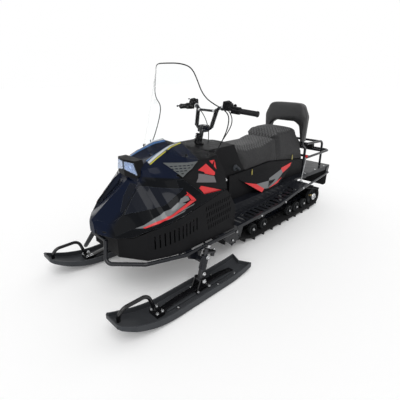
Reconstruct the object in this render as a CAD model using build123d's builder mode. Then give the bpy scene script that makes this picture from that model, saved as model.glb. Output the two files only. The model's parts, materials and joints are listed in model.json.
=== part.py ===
"""Two-seat utility snowmobile on one wide track, with two steered skis.

Millimetres. +X is forward, +Y is to the driver's left, +Z is up. The origin is on the ground under
the middle of the machine. Every sub-part is written to parts/ under its own name.
"""
import os
from math import atan, cos, degrees, radians, sin, sqrt, tan

from build123d import *

os.makedirs("parts", exist_ok=True)

# ---------------------------------------------------------------- driving dimensions
SEAT_GAP = 0.3            # between solids that seat on each other
FIT_GAP = 0.05            # between a shaft and its bore
PANEL_GAP = 6.0           # round the tilting hood

# track loop
TRACK_WIDTH = 500.0
BELT = 7.0                # belt thickness
LUG_HEIGHT = 28.0
LUG_LENGTH = 12.0
LUG_PITCH = 64.0
DRIVE_LUG_HEIGHT = 14.0
SPROCKET_X, SPROCKET_Z, SPROCKET_R = 251.0, 225.0, 91.7
IDLER_X, IDLER_R = -1095.0, 80.0
ROLLER_X, ROLLER_Z, ROLLER_R = -640.0, 280.0, 50.0
RAIL_FRONT_X, RAIL_REAR_X = -92.0, -942.0
RAIL_BEND_R = 150.0

# skid frame inside the track
SLIDE_Y = 105.0           # centre of each slide rail
SLIDE_THICK = 16.0
SLIDE_HEIGHT = 62.0
BOGIE_XS = (-108.0, -261.0, -671.0, -803.0, -939.0)
BOGIE_R = 48.0
BOGIE_WIDTH = 24.0
BOGIE_Y = 205.0
AXLE_R = 8.0

# tunnel and running boards
TRACK_ROOM = 16.0         # from the belt's edge to the outside of the tunnel's wall
TUNNEL_HALF = TRACK_WIDTH / 2 + TRACK_ROOM
SHEET = 3.0
TUNNEL_FRONT_X, TUNNEL_REAR_X = 360.0, -830.0
TUNNEL_TOP = 415.0
BOARD_OUT = 392.0
DECK_REAR_X, DECK_HALF, DECK_TOP = -1331.0, 252.0, TUNNEL_TOP
FLAP_LOW = 188.0

# steering
STEER_RAKE = 16.0
STEER_ARM = 68.0
SKI_Y = 418.0
PIVOT_X, PIVOT_Z = 712.0, 95.0
BAR_X, BAR_Z = 273.0, 961.0
KINGPIN_R = 14.0
ARM_Z = 270.0             # height of both steering arms on their axes

# skis
SKI_TIP_X, SKI_REAR_X = 1331.0, 292.0
SKI_WIDTH = 182.0
SKI_SOLE = 9.0
SKI_RIM = 44.0
SKI_RIM_THICK = 8.0
SKI_KEEL = 10.0
TIP_RISE, TAIL_RISE = 138.0, 34.0

# body
HOOD_WALL = 4.0
PAN_WALL = 4.0
PAN_FLOOR = 300.0
PAN_HALF = 360.0
SEAT_HALF = 180.0
RAIL_Z = 288.0
RAIL_TUBE_R = 12.0

IDLER_LIFT = 4.0          # the rear idlers ride a little off the ground line
DRIVE_LUG_Y = 150.0
DRIVE_LUG_WIDTH = 24.0
ARM_SPLAY = 70.0
DRIVE_PLATE_Y = TUNNEL_HALF + 24.0
DRIVE_PLATE_THICK = 4.0
SPROCKET_TEETH = 9
TUNNEL_LOW_REAR = 385.0
BOARD_FRONT_X, BOARD_KICK_X, BOARD_REAR_X = 321.0, -200.0, -620.0
BOARD_FRONT_Z, BOARD_KICK_Z, BOARD_REAR_Z = 322.0, 338.0, 412.0
BOARD_LIP = 24.0
BOARD_SLOT_ROWS, BOARD_SLOT_PITCH, BOARD_SLOT = 15, 52.0, 22.0
BRACE_FRONT, BRACE_REAR, BRACE_R = (60.0, 366.0, 290.0), (DECK_REAR_X + 31, 262.0, 340.0), 10.0
BRACE_STRUT_XS, BRACE_STRUT = (40.0, -285.0, -555.0), 6.0
DECK_FLANGE = 42.0
FLAP_THICK = 5.0
HITCH_Z, HITCH_PLATE, HITCH_WIDTH, HITCH_LENGTH = 330.0, 12.0, 70.0, 190.0
HITCH_PIN_X, HITCH_PIN_R = DECK_REAR_X + 30, 9.0
LIP_FRONT_X = 1118.0
CONSOLE_INSET = 10.0
HINGE_X, HINGE_Z, HINGE_PIN_R, HINGE_EAR_Y = 1150.0, 462.0, 6.0, 40.0
HINGE_SLOT = 11.0         # width of the nose's slots, which let the hinge plates through as it tilts
LAMP_OUT, LAMP_LOW, LAMP_HIGH = 104.0, 752.0, 820.0
PAN_FRONT_X, PAN_REAR_X, PAN_TOP = 1100.0, 322.0, 610.0
BULKHEAD_X = 400.0
RAIL_HALF = 378.0
RAIL_REAR_X_TUBE = 345.0
RISER_X, RISER_Y, RISER_Z = 1142.0, 76.0, 398.0   # top of the bumper, under the nose
AXLE_Z, AXLE_TUBE_R = 212.0, 18.0
HOUSING_LOW, HOUSING_HEIGHT, HOUSING_R = 165.0, 88.0, 24.0
SCREEN_LOW, SCREEN_TOP, SCREEN_THICK = 780.0, 1356.0, 4.0
SCREEN_YS = (-340.0, -270.0, -152.0, 0.0, 152.0, 270.0, 340.0)
SEAT_REAR_X, SEAT_STEP_X = -861.0, -426.0
TANK_TOP, TANK_HALF = 828.0, 175.0
COLUMN_R = 15.0
BACKREST_X, BACKREST_THICK, BACKREST_TUBE_Y, FRAME_X = -825.0, 70.0, 190.0, -888.0
RACK_POST_X = DECK_REAR_X + 105
LOOP_HALF, LOOP_Z, LOOP_FRONT_X, LOOP_REAR_X = 230.0, 568.0, -862.0, DECK_REAR_X + 15
BAR_LOW_Z, BAR_R, GRIP_Z, GRIP_OUT = 938.0, 11.0, 1055.0, 372.0
GRIP_LENGTH, GRIP_R = 122.0, 17.0
ARM_THICK = 12.0
INNER_EYE, OUTER_EYE = 18.0, 24.0   # heights of a tie rod's eyes
EYE_SLACK = 0.5           # between stacked eyes
STUD_R = 6.0
TIE_ROD_R = 7.5
OPEN_PIVOT_GAP = 1.0
FOOT_R, FOOT_WIDTH, PIVOT_R = 20.0, 44.0, 8.0
EAR = 8.0
SKI_RIB, SKI_RIB_LENGTH, ski_rib_x = 14.0, 560.0, 720.0
TIP_LIP = 26.0
SKI_FLAT_REAR, SKI_FLAT_FRONT = SKI_REAR_X + 228, SKI_TIP_X - 381
SKI_LOOP_REAR, SKI_LOOP_FRONT = SKI_TIP_X - 271, SKI_TIP_X - 39
LOOP_R, LOOP_TOP = 11.0, 190.0


def save(piece, name):
    """Label a finished piece and write it under its own name."""
    piece.label = name
    export_step(piece, f"parts/{name}.step")


def round_tube(points, radius, bend=30.0):
    """Add a bent tube whose centre line runs through the points."""
    with BuildLine(mode=Mode.PRIVATE) as run:
        if len(points) == 2:
            Line(*points)
        else:
            FilletPolyline(*points, radius=bend)
    with BuildSketch(Plane(origin=run.line @ 0, z_dir=run.line % 0)) as section:
        Circle(radius)
    sweep(section.sketch, path=run.line)


def side_plate(points, low_y, high_y, mode=Mode.ADD):
    """Add a plate whose outline lies in X and Z, between two values of Y."""
    with BuildSketch(Plane.XZ.offset(-low_y)) as outline:
        with BuildLine():
            Polyline(*points, close=True)
        make_face()
    extrude(outline.sketch, amount=low_y - high_y, mode=mode)


def slab(points, half):
    """A solid of a side outline, as wide as twice the half width."""
    with BuildPart() as block:
        side_plate(points, -half, half)
    return block.part


def along_slope(x, x0, z0, x1, z1):
    """Height at x on the straight line between two points."""
    return z0 + (z1 - z0) * (x - x0) / (x1 - x0)


def board_z(x):
    """Height of the running boards along the machine: nearly level, then kicked up at the rear."""
    if x > BOARD_KICK_X:
        return along_slope(x, BOARD_FRONT_X, BOARD_FRONT_Z, BOARD_KICK_X, BOARD_KICK_Z)
    return along_slope(x, BOARD_KICK_X, BOARD_KICK_Z, BOARD_REAR_X, BOARD_REAR_Z)


def brace_at(x, side):
    """The centre of a side brace at a place along the machine."""
    (x0, y0, z0), (x1, y1, z1) = BRACE_FRONT, BRACE_REAR
    return (x, side * along_slope(x, x0, y0, x1, y1), along_slope(x, x0, z0, x1, z1))


def raked_plane(x, y, z):
    """A plane square to the steering axes, its local X pointing forward."""
    rake = radians(STEER_RAKE)
    return Plane(origin=(x, y, z), x_dir=(cos(rake), 0, sin(rake)), z_dir=(-sin(rake), 0, cos(rake)))


def column_x(z):
    """Where the steering column's axis is at a height."""
    return BAR_X + tan(radians(STEER_RAKE)) * (BAR_Z - z)


def column_plane(z):
    """The plane square to the steering column at a height on its axis."""
    return raked_plane(column_x(z), 0, z)


def axis_x(z):
    """Where a kingpin's axis is at a height."""
    return PIVOT_X - tan(radians(STEER_RAKE)) * (z - PIVOT_Z)


def kingpin_plane(side, z):
    """The plane square to a kingpin at a height on its axis."""
    return raked_plane(axis_x(z), side * SKI_Y, z)


def screen_x(y):
    """Plan of the windshield at its foot."""
    return 753.0 - 0.00081 * abs(y) ** 2.2


def screen_front():
    """The windshield's outline from the front, as a solid along X."""
    half = [
        (90, 1356), (138, 1346), (162, 1331), (180, 1308), (202, 1260), (219, 1216), (236, 1182), (256, 1153),
        (284, 1125), (312, 1100), (329, 1070), (335, 1036), (335, 981), (328, 923), (318, 868), (308, 838),
    ]
    with BuildPart() as block:
        with BuildSketch(Plane.YZ.offset(0)) as face:
            with BuildLine():
                left = Spline(*half)
                right = Spline(*[(-y, z) for y, z in half])
                Line(left @ 0, right @ 0)
                foot = [(290, 820), (262, 800), (236, 790), (236, 700)]
                Polyline(left @ 1, *foot, *[(-y, z) for y, z in reversed(foot)], right @ 1)
            make_face()
        extrude(face.sketch, amount=1100)
    return block.part


def lamp_block(side, grow):
    """One headlight's glass, swept back from the centre; grow gives the pocket round it."""
    with BuildPart() as glass:
        with BuildSketch(Plane.XY.offset(LAMP_LOW - grow)) as plan:
            with BuildLine():
                Polyline(
                    (938 + grow, side * (8 - grow)), (916 + grow, side * (LAMP_OUT + grow)),
                    (902 - grow, side * (LAMP_OUT + grow)), (922 - grow, side * (8 - grow)), close=True,
                )
            make_face()
        extrude(plan.sketch, amount=LAMP_HIGH - LAMP_LOW + 2 * grow)
        outline = [
            (8 - grow, LAMP_HIGH + grow), (LAMP_OUT - 26 + grow, LAMP_HIGH - 2 + grow),
            (LAMP_OUT + grow, LAMP_LOW - grow), (8 - grow, LAMP_LOW + 22 - grow),
        ]
        with BuildSketch(Plane.YZ.offset(880)) as front:
            with BuildLine():
                Polyline(*[(side * y, z) for y, z in outline], close=True)
            make_face()
        extrude(front.sketch, amount=80, mode=Mode.INTERSECT)
    return glass.part


def sole_rise(x):
    """How far the ski's sole has risen at a place ahead of its flat."""
    rise = TIP_RISE - SKI_KEEL
    radius = ((SKI_TIP_X - SKI_FLAT_FRONT) ** 2 + rise ** 2) / (2 * rise)
    return radius - sqrt(radius ** 2 - (x - SKI_FLAT_FRONT) ** 2)


def ski_outline(y0, inset):
    """Plan of a ski with its blunt tip and fishtail, moved in by an inset."""
    half = [
        (SKI_TIP_X - inset, 52 - inset), (SKI_TIP_X - 14 - inset, 70 - inset),
        (SKI_TIP_X - 90, 86 - inset), (SKI_TIP_X - 210, SKI_WIDTH / 2 - inset),
        (480, SKI_WIDTH / 2 - inset), (SKI_REAR_X + inset, 84 - inset),
    ]
    return [(x, y0 + y) for x, y in half] + [(SKI_REAR_X + 34 + inset, y0)] + [
        (x, y0 - y) for x, y in reversed(half)
    ]


def ski_well(y0):
    """The hollow of a ski between its rims."""
    floor = SKI_KEEL + SKI_SOLE
    with BuildPart() as well:
        with BuildSketch(Plane.XY.offset(-1)) as plan:
            with BuildLine():
                Polyline(*ski_outline(y0, SKI_RIM_THICK), close=True)
            make_face()
        extrude(plan.sketch, amount=400)
        with BuildSketch(Plane.XZ.offset(-y0 - SKI_WIDTH / 2)) as above:
            with BuildLine():
                Line((SKI_FLAT_REAR, floor), (SKI_FLAT_FRONT, floor))
                toe = TangentArc((SKI_FLAT_FRONT, floor), (SKI_TIP_X, TIP_RISE + SKI_SOLE), tangent=(1, 0))
                heel = TangentArc((SKI_FLAT_REAR, floor), (SKI_REAR_X, TAIL_RISE + SKI_SOLE), tangent=(-1, 0))
                Polyline(toe @ 1, (SKI_TIP_X, 500), (SKI_REAR_X, 500), heel @ 1)
            make_face()
        extrude(above.sketch, amount=SKI_WIDTH, mode=Mode.INTERSECT)
    return well.part


# ---------------------------------------------------------------- track
LUG_TIP = BELT + LUG_HEIGHT
IDLER_Z = IDLER_R + LUG_TIP + IDLER_LIFT
belt_circles = [
    (SPROCKET_X, SPROCKET_Z, SPROCKET_R),
    (ROLLER_X, ROLLER_Z, ROLLER_R),
    (IDLER_X, IDLER_Z, IDLER_R),
    (RAIL_REAR_X, RAIL_BEND_R + LUG_TIP, RAIL_BEND_R),
    (RAIL_FRONT_X, RAIL_BEND_R + LUG_TIP, RAIL_BEND_R),
]


def belt_runs(grow):
    """The belt's loop, moved out: each straight run's ends, then its next bend's middle and end."""
    normals = []
    for (x0, z0, r0), (x1, z1, r1) in zip(belt_circles, belt_circles[1:] + belt_circles[:1]):
        run = Vector(x1 - x0, z1 - z0)
        lean = (r0 - r1) / run.length
        along = run.normalized()
        normals.append(along * lean + Vector(along.Y, -along.X) * sqrt(1 - lean * lean))
    centres = [(Vector(x, z), r + grow) for x, z, r in belt_circles]
    runs = []
    for place, normal in enumerate(normals):
        onward = (place + 1) % len(centres)
        (start, start_r), (end, end_r) = centres[place], centres[onward]
        crest = (normal + normals[onward]).normalized()
        places = [start + normal * start_r] + [end + way * end_r for way in (normal, crest, normals[onward])]
        runs.append([(spot.X, spot.Y) for spot in places])
    return runs


with BuildLine(Plane.XZ) as inside_line:
    for start, end, crest, bent in belt_runs(0):
        Line(start, end)
        ThreePointArc(end, crest, bent)
inside_wire = inside_line.wire()
lug_count = 2 * round(inside_wire.length / LUG_PITCH / 2)


def belt_place(step):
    """The plane on the belt's inside at a lug step, its Z axis pointing out of the loop."""
    share = (step % lug_count) / lug_count
    spot, along = inside_wire.position_at(share), inside_wire.tangent_at(share)
    out = along.cross(Vector(0, 1, 0))
    if out.dot(spot - Vector(ROLLER_X, 0, IDLER_Z)) < 0:
        out = -out
    return Plane(origin=spot, x_dir=along, z_dir=out)


even_rows = [belt_place(step) for step in range(0, lug_count, 2)]
odd_rows = [belt_place(step) for step in range(1, lug_count, 2)]
half_rows = [belt_place(step + 0.5) for step in range(lug_count)]
LUG_SEAT = 1.0            # how far a lug is rooted in the belt
lug_long = LUG_HEIGHT + LUG_SEAT
ON_BASE = (Align.CENTER, Align.CENTER, Align.MIN)

with BuildPart() as track:
    with BuildSketch(Plane.XZ):
        for grow, mode in ((BELT, Mode.ADD), (0, Mode.SUBTRACT)):
            with BuildLine():
                for start, end, crest, bent in belt_runs(grow):
                    Line(start, end)
                    ThreePointArc(end, crest, bent)
            make_face(mode=mode)
    extrude(amount=TRACK_WIDTH / 2, both=True)
    with Locations(*even_rows):
        with Locations((0, 0, BELT - LUG_SEAT)):
            Box(LUG_LENGTH, TRACK_WIDTH * 0.3, lug_long, align=ON_BASE)
        with Locations((0, TRACK_WIDTH * 0.35, BELT - LUG_SEAT), (0, -TRACK_WIDTH * 0.35, BELT - LUG_SEAT)):
            Box(LUG_LENGTH, TRACK_WIDTH * 0.28, lug_long, align=ON_BASE)
    with Locations(*odd_rows):
        with Locations((0, TRACK_WIDTH * 0.22, BELT - LUG_SEAT), (0, -TRACK_WIDTH * 0.22, BELT - LUG_SEAT)):
            Box(LUG_LENGTH, TRACK_WIDTH * 0.26, lug_long, align=ON_BASE)
    with Locations(*half_rows):
        with Locations((0, DRIVE_LUG_Y, LUG_SEAT), (0, -DRIVE_LUG_Y, LUG_SEAT)):
            Box(
                LUG_LENGTH * 1.5, DRIVE_LUG_WIDTH, DRIVE_LUG_HEIGHT + LUG_SEAT,
                align=(Align.CENTER, Align.CENTER, Align.MAX),
            )
save(track.part, "track")

# ---------------------------------------------------------------- skid frame and wheels
belt_floor = LUG_TIP + SEAT_GAP
bogie_z = belt_floor + BOGIE_R
slide_top = belt_floor + SLIDE_HEIGHT
tube_z = slide_top - 18.0   # cross tubes of the slide rails
FRONT_ARM = ((-40.0, tube_z), (150.0, 285.0))
REAR_ARM = ((-560.0, tube_z), (-400.0, 288.0))
FRONT_SHOCK_X, REAR_SHOCK_X = -185.0, -620.0
ARM_TUBE_R, ARM_SIDE_R = 11.0, 10.0
EYE_WALL = 7.0
EYE_WIDTH = 26.0


def eye(x, y, z, mode=Mode.ADD):
    """Add the ring of a link round a cross tube, or cut its bore."""
    radius = ARM_TUBE_R + (EYE_WALL if mode == Mode.ADD else FIT_GAP)
    with Locations((x, y, z)):
        Cylinder(radius, EYE_WIDTH + (0 if mode == Mode.ADD else 2), rotation=(90, 0, 0), mode=mode)


with BuildPart() as slide_rails:
    for y in (-SLIDE_Y, SLIDE_Y):
        with BuildSketch(Plane.XZ.offset(-y - SLIDE_THICK / 2)):
            with BuildLine():
                low = Line((RAIL_REAR_X, belt_floor), (RAIL_FRONT_X, belt_floor))
                nose = TangentArc(low @ 1, (RAIL_FRONT_X + 95, belt_floor + 34), tangent=low % 1)
                Polyline(
                    nose @ 1, (RAIL_FRONT_X + 80, slide_top), (IDLER_X + 120, slide_top),
                    (IDLER_X, IDLER_Z + 24), (IDLER_X - 26, IDLER_Z + 10), (IDLER_X - 26, IDLER_Z - 22),
                    (IDLER_X + 60, belt_floor + 14), (RAIL_REAR_X, belt_floor),
                )
            make_face()
            with Locations(*[(x, bogie_z) for x in BOGIE_XS]):
                Circle(AXLE_R + FIT_GAP, mode=Mode.SUBTRACT)
            with Locations((IDLER_X, IDLER_Z)):
                SlotOverall(4 * AXLE_R, 2 * (AXLE_R + FIT_GAP), mode=Mode.SUBTRACT)
            with Locations(*[(x, tube_z - 4) for x in (-335, -425, -500)]):
                SlotOverall(60, 22, mode=Mode.SUBTRACT)
        extrude(amount=SLIDE_THICK)
    for x in (FRONT_ARM[0][0], FRONT_SHOCK_X, REAR_ARM[0][0], REAR_SHOCK_X, IDLER_X + 95):
        with Locations((x, 0, tube_z)):
            Cylinder(ARM_TUBE_R, 2 * SLIDE_Y, rotation=(90, 0, 0))
save(slide_rails.part, "slide_rails")

with BuildPart() as suspension:
    for (x0, z0), (x1, z1) in (FRONT_ARM, REAR_ARM):
        for y in (-ARM_SPLAY, ARM_SPLAY):
            round_tube([(x0, y, z0), (x1, y, z1)], ARM_SIDE_R)
            eye(x0, y, z0)
            eye(x0, y, z0, mode=Mode.SUBTRACT)
        with Locations((x1, 0, z1)):
            Cylinder(ARM_TUBE_R, 2 * (TUNNEL_HALF - SHEET - SEAT_GAP), rotation=(90, 0, 0))
save(suspension.part, "suspension_arms")

SPRING_R, SPRING_COIL, SPRING_TURNS = 26.0, 9.0, 8
SHOCK_CUP_R, SHOCK_BODY_R, SHOCK_ROD_R = 28.0, 19.0, 9.0
for name, low_x, (top_x, top_z) in (
    ("shock_front", FRONT_SHOCK_X, FRONT_ARM[1]),
    ("shock_rear", REAR_SHOCK_X, REAR_ARM[1]),
):
    axis = Vector(top_x - low_x, 0, top_z - tube_z)
    shock_base = Plane(origin=(low_x, 0, tube_z), x_dir=(0, 1, 0), z_dir=axis)
    ends = 40.0
    with BuildPart() as shock:
        with BuildSketch(shock_base):
            Circle(SHOCK_ROD_R)
        extrude(amount=axis.length)
        with BuildSketch(shock_base.offset(ends)):
            Circle(SHOCK_BODY_R)
        extrude(amount=axis.length - 2 * ends)
        for turn in range(SPRING_TURNS):
            share = (turn + 0.5) / SPRING_TURNS
            with BuildSketch(shock_base.offset(ends + share * (axis.length - 2 * ends) - SPRING_COIL / 2)):
                Circle(SPRING_R)
            extrude(amount=SPRING_COIL)
        for place in (ends - 6, axis.length - ends):
            with BuildSketch(shock_base.offset(place)):
                Circle(SHOCK_CUP_R)
            extrude(amount=6)
        for x, z in ((low_x, tube_z), (top_x, top_z)):
            eye(x, 0, z)
            eye(x, 0, z, mode=Mode.SUBTRACT)
    save(shock.part, name)

with BuildPart() as bogies:
    for x in BOGIE_XS:
        with BuildSketch(Plane.XZ.offset(-BOGIE_Y - BOGIE_WIDTH / 2 - 5)):
            with Locations((x, bogie_z)):
                Circle(AXLE_R)
        extrude(amount=2 * BOGIE_Y + BOGIE_WIDTH + 10)
        for y in (-BOGIE_Y, BOGIE_Y):
            with BuildSketch(Plane.XZ.offset(-y - BOGIE_WIDTH / 2)):
                with Locations((x, bogie_z)):
                    Circle(BOGIE_R)
            extrude(amount=BOGIE_WIDTH)
            dish = -y - BOGIE_WIDTH / 2 if y > 0 else -y + BOGIE_WIDTH / 2
            with BuildSketch(Plane.XZ.offset(dish)):
                with Locations((x, bogie_z)):
                    Circle(BOGIE_R - 10)
                    Circle(2.2 * AXLE_R, mode=Mode.SUBTRACT)
            extrude(amount=8 if y > 0 else -8, mode=Mode.SUBTRACT)
save(bogies.part, "bogie_wheels")

with BuildPart() as idlers:
    with BuildSketch(Plane.XZ.offset(-BOGIE_Y - BOGIE_WIDTH / 2 - 22)):
        with Locations((IDLER_X, IDLER_Z)):
            Circle(AXLE_R)
    extrude(amount=2 * BOGIE_Y + BOGIE_WIDTH + 44)
    for y in (-BOGIE_Y, -60.0, 60.0, BOGIE_Y):
        with BuildSketch(Plane.XZ.offset(-y - BOGIE_WIDTH / 2)):
            with Locations((IDLER_X, IDLER_Z)):
                Circle(IDLER_R - SEAT_GAP)
            with Locations((IDLER_X, IDLER_Z)):
                with PolarLocations(IDLER_R * 0.56, 5):
                    Circle(IDLER_R * 0.17, mode=Mode.SUBTRACT)
        extrude(amount=BOGIE_WIDTH)
save(idlers.part, "rear_idlers")

with BuildPart() as hubs:
    for y in (-1, 1):
        face = y * (BOGIE_Y + BOGIE_WIDTH / 2 + SEAT_GAP)
        with BuildSketch(Plane.XZ.offset(-face)):
            with Locations((IDLER_X, IDLER_Z)):
                Circle(24)
                Circle(AXLE_R + FIT_GAP, mode=Mode.SUBTRACT)
        extrude(amount=-y * 16)
save(hubs.part, "idler_hubs")

with BuildPart() as driver:
    with BuildSketch(Plane.XZ.offset(-DRIVE_PLATE_Y + SEAT_GAP)):
        with Locations((SPROCKET_X, SPROCKET_Z)):
            Circle(16)
    extrude(amount=2 * (DRIVE_PLATE_Y - SEAT_GAP))
    for y in (-SLIDE_Y, SLIDE_Y):
        with BuildSketch(Plane.XZ.offset(-y - 15)):
            with Locations((SPROCKET_X, SPROCKET_Z)):
                Circle(SPROCKET_R - SEAT_GAP)
                with PolarLocations(SPROCKET_R - 4, SPROCKET_TEETH):
                    Circle(10, mode=Mode.SUBTRACT)
                with PolarLocations(SPROCKET_R * 0.55, 6):
                    Circle(14, mode=Mode.SUBTRACT)
        extrude(amount=30)
save(driver.part, "drive_sprockets")

with BuildPart() as rollers:
    with BuildSketch(Plane.XZ.offset(-TUNNEL_HALF + SHEET + SEAT_GAP)):
        with Locations((ROLLER_X, ROLLER_Z)):
            Circle(AXLE_R)
    extrude(amount=2 * (TUNNEL_HALF - SHEET - SEAT_GAP))
    for y in (-SLIDE_Y, SLIDE_Y):
        with BuildSketch(Plane.XZ.offset(-y - BOGIE_WIDTH / 2)):
            with Locations((ROLLER_X, ROLLER_Z)):
                Circle(ROLLER_R - SEAT_GAP)
        extrude(amount=BOGIE_WIDTH)
save(rollers.part, "carrier_rollers")

# ---------------------------------------------------------------- tunnel, boards and deck
tunnel_side = [
    (TUNNEL_FRONT_X, board_z(TUNNEL_FRONT_X)), (TUNNEL_FRONT_X, TUNNEL_TOP), (TUNNEL_REAR_X, TUNNEL_TOP),
    (TUNNEL_REAR_X, TUNNEL_LOW_REAR), (BOARD_REAR_X, board_z(BOARD_REAR_X)),
    (BOARD_KICK_X, BOARD_KICK_Z),
]
with BuildPart() as tunnel:
    side_plate(tunnel_side, -TUNNEL_HALF, TUNNEL_HALF)
    inner_side = [
        (TUNNEL_FRONT_X + 1, 0), (TUNNEL_FRONT_X + 1, TUNNEL_TOP - SHEET),
        (TUNNEL_REAR_X - 1, TUNNEL_TOP - SHEET), (TUNNEL_REAR_X - 1, 0),
    ]
    side_plate(inner_side, -TUNNEL_HALF + SHEET, TUNNEL_HALF - SHEET, mode=Mode.SUBTRACT)
    # lugs on the walls that carry the suspension's cross tubes and the carrier rollers' axle
    for x, z in (FRONT_ARM[1], REAR_ARM[1], (ROLLER_X, ROLLER_Z)):
        high = board_z(x) + 6
        for side in (1, -1):
            side_plate(
                [(x - 34, high), (x - 13, z - 16), (x + 13, z - 16), (x + 34, high)],
                side * (TUNNEL_HALF - SHEET), side * TUNNEL_HALF,
            )
save(tunnel.part, "tunnel")

for name, side in (("left", 1), ("right", -1)):
    with BuildPart() as board:
        top = [(x, board_z(x)) for x in (BOARD_FRONT_X, BOARD_KICK_X, BOARD_REAR_X)]
        inner = TUNNEL_HALF + SEAT_GAP
        skin = top + [(x, z - SHEET) for x, z in reversed(top)]
        side_plate(skin, side * inner, side * BOARD_OUT)
        lip = top + [(x, z - BOARD_LIP) for x, z in reversed(top)]
        side_plate(lip, side * (BOARD_OUT - SHEET), side * BOARD_OUT)
        side_plate(
            [(x, min(z + 28, TUNNEL_TOP)) for x, z in top] + [(x, z) for x, z in reversed(top)],
            side * inner, side * (inner + SHEET),
        )
        for row in range(BOARD_SLOT_ROWS):
            x = BOARD_FRONT_X - 60 - row * BOARD_SLOT_PITCH
            with Locations((x, side * (inner + BOARD_OUT) / 2, board_z(x))):
                Box(BOARD_SLOT, (BOARD_OUT - inner) * 0.7, 30, mode=Mode.SUBTRACT)
    save(board.part, f"running_board_{name}")

    with BuildPart() as brace:
        round_tube([brace_at(BRACE_FRONT[0], side), brace_at(BRACE_REAR[0], side)], BRACE_R)
        # struts up to the board, and a foot against the deck's flange
        for x in BRACE_STRUT_XS:
            _, y, z = brace_at(x, side)
            under = SHEET + SEAT_GAP
            side_plate(
                [(x - 18, board_z(x - 18) - under), (x - 10, z), (x + 10, z),
                 (x + 18, board_z(x + 18) - under)],
                y - BRACE_STRUT / 2, y + BRACE_STRUT / 2,
            )
        foot = DECK_HALF + SEAT_GAP
        side_plate(
            [(BRACE_REAR[0] - 8, BRACE_REAR[2]), (BRACE_REAR[0] - 8, DECK_TOP - 12),
             (BRACE_REAR[0] + 40, DECK_TOP - 12), (BRACE_REAR[0] + 40, BRACE_REAR[2])],
            side * foot, side * (foot + BRACE_STRUT),
        )
    save(brace.part, f"side_brace_{name}")

with BuildPart() as deck:
    deck_front = TUNNEL_REAR_X - SEAT_GAP
    side_plate(
        [(deck_front, DECK_TOP), (DECK_REAR_X, DECK_TOP), (DECK_REAR_X, DECK_TOP - SHEET),
         (deck_front, DECK_TOP - SHEET)],
        -DECK_HALF, DECK_HALF,
    )
    for side in (1, -1):
        side_plate(
            [(deck_front, DECK_TOP), (DECK_REAR_X, DECK_TOP), (DECK_REAR_X, DECK_TOP - DECK_FLANGE),
             (deck_front, TUNNEL_LOW_REAR)],
            side * (DECK_HALF - SHEET), side * DECK_HALF,
        )
    with Locations((DECK_REAR_X, 0, DECK_TOP)):
        Box(SHEET, 2 * DECK_HALF, DECK_FLANGE, align=(Align.MIN, Align.CENTER, Align.MAX))
save(deck.part, "rear_deck")

with BuildPart() as flap:
    with BuildSketch(Plane.YZ.offset(DECK_REAR_X + SHEET + SEAT_GAP)):
        with BuildLine():
            Polyline(
                (-DECK_HALF + 8, DECK_TOP - 12), (DECK_HALF - 8, DECK_TOP - 12),
                (DECK_HALF - 12, FLAP_LOW + 20), (DECK_HALF - 34, FLAP_LOW),
                (-DECK_HALF + 34, FLAP_LOW), (-DECK_HALF + 12, FLAP_LOW + 20),
                close=True,
            )
        make_face()
        with Locations((0, HITCH_Z)):
            Rectangle(HITCH_WIDTH + 24, 70, mode=Mode.SUBTRACT)
    extrude(amount=FLAP_THICK)
save(flap.part, "snow_flap")

with BuildPart() as hitch:
    with BuildSketch(Plane.XY.offset(HITCH_Z - HITCH_PLATE / 2)):
        with Locations((DECK_REAR_X + HITCH_LENGTH / 2, 0)):
            Rectangle(HITCH_LENGTH, HITCH_WIDTH)
        with Locations((HITCH_PIN_X, 0)):
            Circle(HITCH_PIN_R, mode=Mode.SUBTRACT)
    extrude(amount=HITCH_PLATE)
    gusset_end, gusset_top = DECK_REAR_X + HITCH_LENGTH, DECK_TOP - SHEET - SEAT_GAP
    for side in (1, -1):
        side_plate(
            [(HITCH_PIN_X + 60, HITCH_Z), (gusset_end, HITCH_Z), (gusset_end, gusset_top),
             (HITCH_PIN_X + 90, gusset_top)],
            side * (HITCH_WIDTH / 2 - 8), side * HITCH_WIDTH / 2,
        )
save(hitch.part, "tow_hitch")

# ---------------------------------------------------------------- belly pan, drive plates, bumper
lip_line = [(LIP_FRONT_X, 428), (1045, 434), (995, 478), (856, 514), (656, 556), (486, 594), (431, 604)]
pan_plan = [(PAN_FRONT_X, 138), (1004, 292), (880, 342), (800, PAN_HALF), (PAN_REAR_X, PAN_HALF)]


def pan_outline(inset):
    """Plan of the belly pan, both sides, its walls moved in by an inset."""
    left = [(x - (inset if x > PAN_REAR_X else 0), y - inset) for x, y in pan_plan]
    return left + [(x, -y) for x, y in reversed(left)]


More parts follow.
